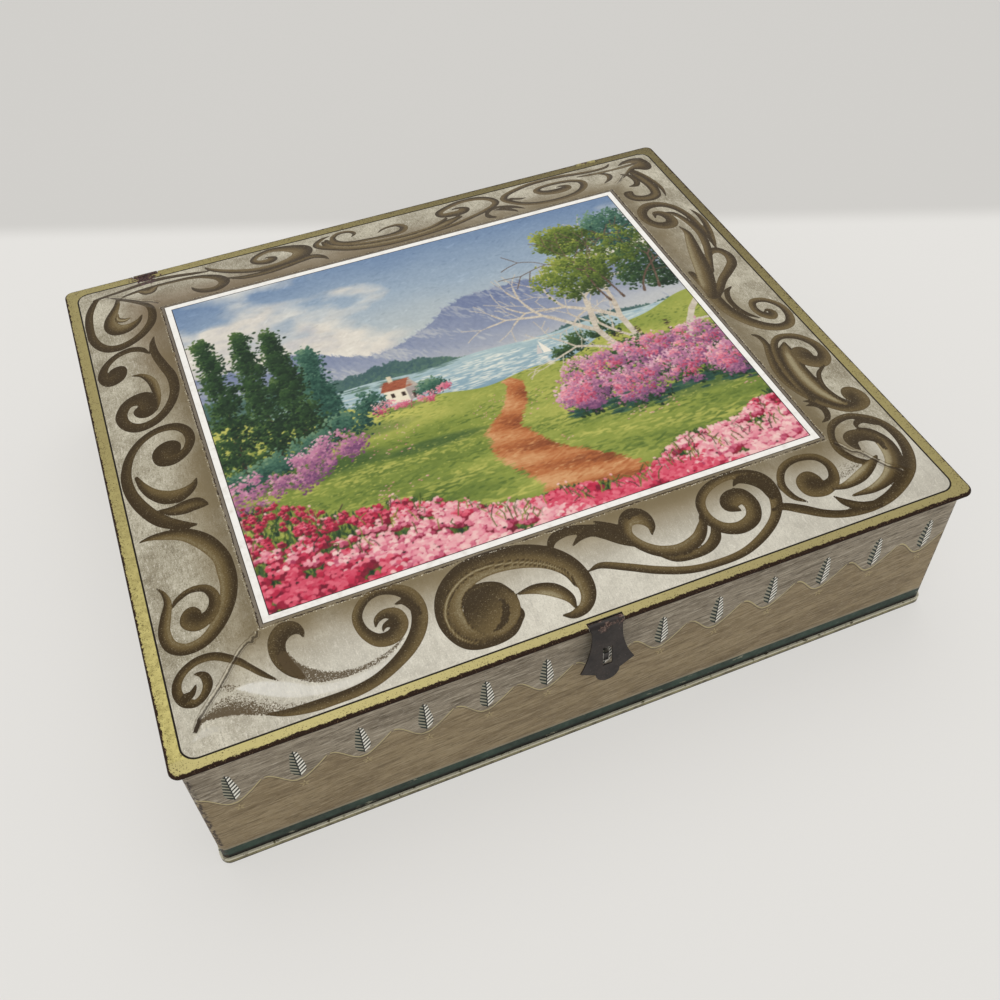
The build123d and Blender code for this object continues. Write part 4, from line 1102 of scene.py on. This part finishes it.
    # picture in its white frame, with the crest of the slope worn round it
    pictureX, pictureY = abs(x - lid["frameMiddle"][0]), abs(y - lid["frameMiddle"][1])
    toFrame = calc("MAXIMUM", pictureX - lid["frameHalfX"], pictureY - lid["frameHalfY"])
    margin = bandMask(toFrame, 0.2, 1.5, 0.15) * smooth(pictureX - pictureY, 17, 20, 0.35, 0.8)
    base = blend(margin, base, (112, 104, 94))
    broken = toFrame + (crisp - 0.5) * 1.4
    worn = bandMask(broken, 1.35, 1.85, 0.12) * smooth(noise(place, 300, 6, 0.7), 0.42, 0.5)
    base = blend(worn, base, (50, 39, 28))
    rubbed = bandMask(broken, 1.9, 2.4, 0.12) * smooth(grit, 0.55, 0.62)
    base = blend(rubbed * 0.8, base, (206, 198, 178))
    painted = blend(1, attribute(tree, "paint", "Color"), (238, 234, 226), "MULTIPLY")
    white = blend(smooth(fine, 0.45, 0.8), (238, 235, 228), (212, 206, 196))
    base = blend(smooth(toFrame, -0.1, 0.1, 1, 0), base, white)
    base = blend(smooth(toFrame, -lid["frameWidth"], -2.75, 1, 0), base, painted)
    base = blend(bandMask(toFrame, -3.2, -2.82, 0.08), base, (46, 36, 34))
    base = blend(bandMask(toFrame, -0.1, 0.25, 0.1), base, (52, 42, 32))

    # bare lacquered underside
    under = blend(smooth(broad, 0.35, 0.65), (160, 151, 125), (176, 168, 143))
    base = blend(smooth(outside, 0.4, 0.6), under, base)

    rusty = smooth(ragged, -1.05, -0.8)
    tinShine = smooth(toFrame, -0.2, 0.2, 0, 0.2) * (1 - rusty)
    height = crisp * 0.25 + rusty * -0.5 - worn * 0.4
    dress(shader, base, smooth(fine, 0.3, 0.7, 0.34, 0.46) + rusty * 0.3,
          tinShine * smooth(depth, -0.02, 0.2, 1, 0.2), height, 0.35, 0.15)
    return material


printedTin = lidMaterial()
print("lid material ready")


# Lid pieces

rim = lidRim("lid_rim")
takePlace(rim, "lid", "printed_lid", printedTin, "lid_panel")

step, halfX, front, back = (lid[key] for key in ("fieldStep", "pictureHalfX", "pictureFront", "pictureBack"))
sideCount, midCount = round((lid["footX"] - halfX) / step), round(2 * halfX / step)
frontCount, depthCount = round((lid["footY"] + front) / step), round((back - front) / step)
backCount = round((lid["footY"] - back) / step)
field = sheetFromGrid("lid_field", (-lid["footX"], -halfX, halfX, lid["footX"]),
                      (-lid["footY"], front, back, lid["footY"]),
                      (sideCount, midCount, sideCount), (frontCount, depthCount, backCount),
                      (sideCount, sideCount + midCount, frontCount, frontCount + depthCount))
points = pointsOf(field.data)
x, y = points[:, 0], points[:, 1]
inkDepth, inkLight = inkScrolls(x, y)
foldDistance, foldStrength = foldLines(x, y)
for name, values in {"inkDepth": inkDepth + 0.15, "inkLight": inkLight, "sprayAndHighlight": airbrushAndHighlight(x, y),
                     "foldDistance": foldDistance, "foldStrength": foldStrength}.items():
    values = np.ascontiguousarray(values, "f")
    field.data.attributes.new(name, "FLOAT", "POINT").data.foreach_set("value", values)
takePlace(field, "lid", "printed_lid", printedTin, "lid_panel")
print("lid field:", len(points), "points")

width, depth, parts = 2 * halfX, back - front, lid["pictureParts"]
columns = round(width / parts / lid["pictureStep"]) * parts
rows = round(depth / lid["pictureStep"])
picture = paintPicture(columns + 1, rows + 1)
for index, name in enumerate(("lid_picture_left", "lid_picture_middle", "lid_picture_right")):
    xStart = -halfX + width * index / parts
    part = sheetFromGrid(name, (xStart, xStart + width / parts), (front, back), (columns // parts,), (rows,))
    points = pointsOf(part.data)
    column = np.clip(np.rint((points[:, 0] + halfX) / width * columns), 0, columns)
    row = np.clip(np.rint((back - points[:, 1]) / depth * rows), 0, rows)
    light = linear(picture[row.astype(int), column.astype(int)])
    colours = np.concatenate([light, np.ones((len(light), 1))], 1)
    part.data.attributes.new("paint", "FLOAT_COLOR", "POINT").data.foreach_set("color", colours.astype("f").ravel())
    takePlace(part, "lid", "printed_lid", printedTin, "lid_panel")
print("lid picture:", columns, "by", rows)


# Walls: wood-grained tin with a row of ferns over a wave, a green band and a pale line

wall = {
    "halfX": lid["halfX"] - 2.8,
    "halfY": 142.125,
    "middleY": 0.175,
    "sheet": 0.3,
    "corner": 3.0,
    "pitch": 24.87,
    "shift": 0.7,
    "fernFoot": 44.5,
    "fernTip": 62.5,
    "barb": 2.3,
    "barbSlope": 0.95,
    "starMiddle": (0.5, 38.0),
    "waveLow": 42.0,
    "waveRise": 10.0,
    "bandTop": 10.0,
    "lineTop": 11.3,
}


def wallMaterial():
    material, tree, shader = newMaterial("grainedTin", Roughness=0.5, Specular_IOR_Level=0.25)
    place, (x, y, z) = objectPlace(tree)
    absX, absY = abs(x), abs(y - wall["middleY"])
    onSide = smooth(absX, wall["halfX"] - 1.1, wall["halfX"] - 1)
    acrossFront = x * (calc("SIGN", y) * -1)
    along = Value(node(tree, "ShaderNodeMix", {0: onSide, 2: acrossFront, 3: y * calc("SIGN", x)},
                       data_type="FLOAT").outputs[0])
    u = calc("WRAP", along - wall["shift"], wall["pitch"] / 2, -wall["pitch"] / 2)
    absU = abs(u)
    fine = noise(place, 420, 5, 0.7)

    # grain: long figure, grey above the wave and brown below
    def grain(lengthwise, crosswise, lean, detail, distortion):
        leaning = z + along * lean
        run = node(tree, "ShaderNodeCombineXYZ", {"X": along * (lengthwise * mm), "Y": onSide * 7.3,
                                                  "Z": leaning * (crosswise * mm)})
        return noise(Value(run.outputs[0]), 1, detail, 0.65, distortion)

    figure = grain(22, 120, -0.04, 7, 1.4)
    streak = grain(95, 950, -0.07, 4, 0.7)
    hair = grain(210, 2300, -0.10, 3, 0.5)
    grey = blend(smooth(figure, 0.32, 0.66), (120, 109, 92), (150, 139, 120))
    warm = blend(smooth(figure, 0.32, 0.66), (120, 103, 75), (148, 131, 100))
    for value, low, high, most, greyTone, warmTone in (
            (streak, 0.53, 0.64, 0.75, (84, 74, 58), (86, 71, 46)),
            (streak, 0.47, 0.36, 0.7, (178, 168, 150), (168, 152, 122)),
            (hair, 0.56, 0.68, 0.7, (74, 65, 50), (80, 65, 42)),
            (hair, 0.44, 0.32, 0.7, (192, 182, 164), (176, 160, 130))):
        grey = marked(grey, (value, low, high, most, greyTone))
        warm = marked(warm, (value, low, high, most * 0.75, warmTone))
    up = (calc("MINIMUM", calc("MAXIMUM", u - 0.5, 0), 11) / 11) ** 1.25 * wall["waveRise"]
    down = smooth(u, -12.2, -1.4, wall["waveRise"], 0)
    above = z - (up + down + wall["waveLow"])
    base = blend(smooth(above, -1.6, 0.8), warm, grey)
    flecks = useGroup(specks, place, Scale=260, Amount=0.36)
    base = blend(flecks * 0.7, base, (202, 192, 170))

    # wave line with its shadow, broken at each crest
    unbroken = 1 - bandMask(u, 11.3, 12.6, 0.2)
    faded = smooth(noise(place, 130, 3), 0.3, 0.5, 0.45, 1)
    shadow = bandMask(above, -1.15, -0.4, 0.2) * unbroken
    base = blend(shadow * 0.6, base, (72, 60, 42))
    line = bandMask(above, -0.4, 0.45, 0.18) * unbroken * faded
    base = blend(line, base, (178, 164, 122))

    # star under each fern
    starX, starZ = u - wall["starMiddle"][0], z - wall["starMiddle"][1]
    starReach = hypot(starX, starZ)
    points = (calc("COSINE", calc("ARCTAN2", starX, starZ) * 5) * 0.5 + 0.5) ** 2.2 * 1.5
    star = smooth(points + 0.65 - starReach, -0.1, 0.25)
    base = blend(star * 0.85, base, (168, 152, 112))
    base = blend(smooth(starReach, 0.3, 0.6, 0.7, 0), base, (84, 68, 44))

    # fern: slanting barbs, dark on the left and pale on the right
    root = z - absU * wall["barbSlope"]
    wide = smooth(root, 43, 46, 1.4, 3) * smooth(root, 46, 63, 1, 0.45) * smooth(root, 59.5, 62.3, 1, 0)
    within = smooth(wide - absU, -0.15, 0.15) * smooth(root, wall["fernFoot"] - 0.4, wall["fernFoot"])
    phase = calc("PINGPONG", root, wall["barb"] / 2)
    taper = absU / calc("MAXIMUM", wide, 0.1) * 0.2
    barb = smooth(phase - taper, 0.38, 0.56)
    leftHalf = smooth(u, -0.1, 0.1, 1, 0)
    for half, gap, leaf in ((within * leftHalf, (150, 146, 128), (20, 36, 28)),
                            (within * (1 - leftHalf), (62, 62, 52), (236, 233, 222))):
        base = blend(half * (1 - barb), base, gap)
        base = blend(half * barb, base, leaf)
    spine = smooth(absU, 0.1, 0.35, 1, 0) * bandMask(z, wall["fernFoot"] - 0.5, wall["fernTip"], 0.3)
    base = blend(spine, base, (26, 32, 26))

    # green band and pale line at the foot
    green = blend(smooth(noise(place, 90, 5), 0.35, 0.65), (34, 50, 41), (50, 70, 59))
    green = blend(smooth(z + fine, 6.6, 4.9), green, (14, 15, 10))
    scuffs = smooth(noise(stretched(place, 90, 90, 300), 1, 4, 0.7), 0.63, 0.68)
    green = blend(scuffs * 0.8, green, (142, 142, 122))
    base = blend(smooth(z, wall["bandTop"] - 0.15, wall["bandTop"] + 0.15, 1, 0), base, green)
    base = blend(bandMask(z, wall["bandTop"], wall["lineTop"], 0.2) * 0.5, base, (148, 142, 124))

    # rust and painted shadow under the lid's edge, and rust down the corners
    rustAndShadowLine = z + (noise(stretched(place, 260, 260, 60), 1, 6, 0.8) - 0.5) * 9
    base = blend(smooth(rustAndShadowLine, 71.4, 72.4), base, (44, 30, 22))
    cornerX, cornerY = absX - (wall["halfX"] - wall["corner"]), absY - (wall["halfY"] - wall["corner"])
    wornCorner = smooth(calc("MINIMUM", cornerX, cornerY), 0, 1.2) * smooth(fine, 0.46, 0.56)
    base = blend(wornCorner, base, (60, 48, 38))

    # plain tin inside: outer faces lie within half a sheet of the walls' own outline
    outline = hypot(calc("MAXIMUM", cornerX, 0), calc("MAXIMUM", cornerY, 0))
    outer = smooth(outline, wall["corner"] - wall["sheet"] * 0.6, wall["corner"] - wall["sheet"] * 0.4)
    tin = blend(smooth(figure, 0.3, 0.7), (156, 149, 126), (174, 168, 146))
    tin = blend(smooth(noise(place, 35, 8, 0.75), 0.6, 0.72, 0, 0.6), tin, (110, 84, 56))
    base = blend(outer, tin, base)
    raised = line * 0.6 + within * barb * 0.5 + fine * 0.3
    dress(shader, base, smooth(fine, 0.3, 0.7, 0.4, 0.58), smooth(rustAndShadowLine, 71.4, 72.4, 1, 0) * 0.2, raised,
          0.4, 0.15)
    return material


def tinMaterial():  # bottom panel: lacquered tin with rust underneath, a painted highlight along the seam's top and painted shadow at its foot
    material, tree, shader = newMaterial("seamedTin", Roughness=0.45, Specular_IOR_Level=0.3)
    place, (x, y, z) = objectPlace(tree)
    absX, absY = abs(x), abs(y - wall["middleY"])
    fine = noise(place, 420, 6, 0.7)
    cloud = noise(place, 40, 9, 0.72)
    tin = blend(smooth(cloud, 0.32, 0.66), (152, 146, 126), (176, 171, 152))
    rust = useGroup(patina, place, Scale=60, Low=0.56, High=0.66)
    under = smooth(z, 2, 3.4, 1, 0)
    base = blend(rust * under, tin, (92, 62, 42))
    scratches = noise(stretched(place, 40, 700, 40), 1, 3, 0.6, 0.4)
    base = blend(smooth(scratches, 0.62, 0.68, 0, 0.5), base, (204, 200, 186))
    out = calc("MAXIMUM", absX - wall["halfX"], absY - wall["halfY"])
    rim = smooth(out, -0.2, 0.2)
    olive = blend(smooth(noise(place, 160, 7, 0.72), 0.36, 0.6), (96, 88, 62), (150, 143, 104))
    olive = blend(smooth(fine, 0.56, 0.66, 0, 0.8), olive, (52, 40, 28))
    # painted highlight: the pale line along the seam's rounded top, broken by dark specks
    cream = bandMask(z + (fine - 0.5) * 0.8, 2.3, 3.4, 0.15)
    olive = blend(cream * smooth(fine, 0.62, 0.56), olive, (206, 201, 178))
    # painted shadow: darker towards the bottom, where the seam meets the floor
    olive = blend(smooth(z, 1.1, 0.4), olive, (52, 46, 34))
    base = blend(rim, base, olive)
    dress(shader, base, smooth(fine, 0.3, 0.7, 0.36, 0.56), (1 - rust) * 0.3, fine, 0.25, 0.1)
    return material


# Hasp: thin black lacquer, rubbed brown at the knuckle. Hinge straps: old gold, the left one rusted
def japanMaterial():
    material, tree, shader = newMaterial("blackJapan", Specular_IOR_Level=0.25)
    place, (x, y, z) = objectPlace(tree)
    fine = noise(place, 500, 6, 0.7)
    crisp = noise(place, 1300, 3, 0.65)
    cloud = noise(place, 130, 6, 0.65)
    base = blend(smooth(cloud, 0.35, 0.65), (32, 26, 24), (50, 43, 39))
    rub = useGroup(patina, place, Scale=150, Low=0.52, High=0.58) * smooth(z, 71.8, 73.4, 0.06, 1)
    base = blend(rub, base, blend(smooth(crisp, 0.45, 0.6), (62, 44, 38), (124, 102, 92)))
    base = blend(smooth(crisp, 0.66, 0.7) * 0.5, base, (122, 112, 100))
    gold = blend(smooth(fine, 0.35, 0.62), (112, 103, 62), (164, 153, 98))
    rust = blend(smooth(crisp, 0.4, 0.62), (40, 26, 24), (88, 62, 54))
    gone = cloud + smooth(x, -20, 20, 0.2, -0.04)
    strap = blend(smooth(gone, 0.52, 0.6), gold, rust)
    base = blend(smooth(y, -10, 10), base, strap)
    dress(shader, base, smooth(fine, 0.3, 0.7, 0.34, 0.5), rub * 0.3, fine + rub * -0.8, 0.4, 0.12)
    return material


def stapleMaterial():  # dark bent strip; its sides and foot are worn bare by the hasp and drawn near-white as painted highlights on the bends
    material, tree, shader = newMaterial("stapleTin", Roughness=0.36, Metallic=0.4)
    place, (x, y, z) = objectPlace(tree)
    low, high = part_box("hasp_staple")
    fine = noise(place, 600, 4, 0.65)
    side = smooth(abs(x - lid["haspX"]), 1, 1.2)
    foot = smooth(z, low[2] / mm + 0.55, low[2] / mm + 0.35)
    # painted highlight and wear: the sides and foot turn pale where the bends catch the light
    rubbed = calc("MAXIMUM", side, foot) * smooth(fine, 0.3, 0.5, 0.5, 1)
    plug(blend(rubbed, (44, 38, 35), (206, 202, 194)), shader.inputs["Base Color"])
    return material


def steelMaterial(name, dark, light, rustAmount, metal, rough):
    material, tree, shader = newMaterial(name)
    place, _ = objectPlace(tree)
    cloud = noise(place, 220, 6, 0.68)
    base = blend(smooth(cloud, 0.32, 0.66), dark, light)
    rust = useGroup(patina, place, Scale=190, Low=0.66 - rustAmount, High=0.74 - rustAmount)
    base = blend(rust, base, (74, 48, 34))
    dress(shader, base, smooth(cloud, 0.3, 0.7, rough, rough + 0.18), metal, cloud, 0.3, 0.08)
    return material


finishes = {
    "wall_front": wallMaterial(),
    "bottom_panel": tinMaterial(),
    "hasp_plate": japanMaterial(),
    "lid_rim_wire": steelMaterial("wireSteel", (120, 112, 100), (170, 164, 152), 0.12, 0.7, 0.4),
    "hinge_rivets": steelMaterial("rivetSteel", (70, 64, 58), (128, 122, 112), 0.10, 0.6, 0.38),
    "hasp_staple": stapleMaterial(),
}
finishes["wall_rear"] = finishes["wall_front"]
finishes["hinge_strap_left"] = finishes["hinge_strap_right"] = finishes["hasp_plate"]
for name, material in finishes.items():
    for slot in bpy.data.objects[name].material_slots:
        slot.material = material
print("finishes on the box:", len(finishes))


# Floor, lights and camera

bm = bmesh.new()
bmesh.ops.create_grid(bm, x_segments=2, y_segments=2, size=3.0)
floor = meshObject("floor", bm)
floorPaint, tree, shader = newMaterial("floorPaint", Roughness=0.9)
_, (x, y, z) = objectPlace(tree)
rise = y + x * 0.418
pale = blend(smooth(rise, 244, 268), (228, 226, 222), (208, 206, 202))
plug(pale, shader.inputs["Base Color"])
path = tree.nodes.new("ShaderNodeLightPath")
camera, glossy, through = (Value(path.outputs[f"Is {kind} Ray"]) for kind in ("Camera", "Glossy", "Transmission"))
seen = calc("MAXIMUM", camera, calc("MAXIMUM", glossy, through))
plain = node(tree, "ShaderNodeEmission", {"Color": pale, "Strength": 1})
mixed = node(tree, "ShaderNodeMixShader", {0: seen * 0.7, 1: shader.outputs[0], 2: plain.outputs[0]})
plug(mixed.outputs[0], tree.nodes["Material Output"].inputs["Surface"])
floor.data.materials.append(floorPaint)

world = bpy.data.worlds.new("studio")
bpy.context.scene.world = world
world.use_nodes = True
worldTree = world.node_tree
background = worldTree.nodes["Background"]
background.inputs["Color"].default_value = (1, 1, 1, 1)
background.inputs["Strength"].default_value = 0.8


def softLamp(name, location, target, size, power):
    lamp = bpy.data.lights.new(name, "AREA")
    lamp.shape = "SQUARE"
    lamp.size = size
    lamp.energy = power
    holder = bpy.data.objects.new(name, lamp)
    holder.location = location
    holder.rotation_euler = (Vector(target) - Vector(location)).to_track_quat("-Z", "Y").to_euler()
    bpy.context.scene.collection.objects.link(holder)


softLamp("keyLamp", (0.2, 0.5, 1.5), (0, 0, 0), 1.2, 6.5)
softLamp("fillLamp", (-0.9, -1.0, 1.0), (0, 0, 0.04), 1.0, 1.5)

view = {
    "lens": 39.05,
    "sensor": 36,
    "place": (-0.11463, -0.3496, 0.41169),
    "right": (0.92717, -0.37323, -0.03245),
    "down": (-0.30027, -0.68855, -0.6601),
    "forward": (0.22402, 0.62177, -0.75047),
}
camera = bpy.data.cameras.new("camera")
camera.sensor_width = view["sensor"]
camera.lens = view["lens"]
holder = bpy.data.objects.new("camera", camera)
bpy.context.scene.collection.objects.link(holder)
turn = Matrix((view["right"], -Vector(view["down"]), -Vector(view["forward"]))).transposed().to_4x4()
holder.matrix_world = Matrix.Translation(view["place"]) @ turn
print("camera angles", [round(math.degrees(a), 3) for a in holder.rotation_euler])
bpy.context.scene.camera = holder
bpy.context.scene.view_settings.view_transform = "Standard"
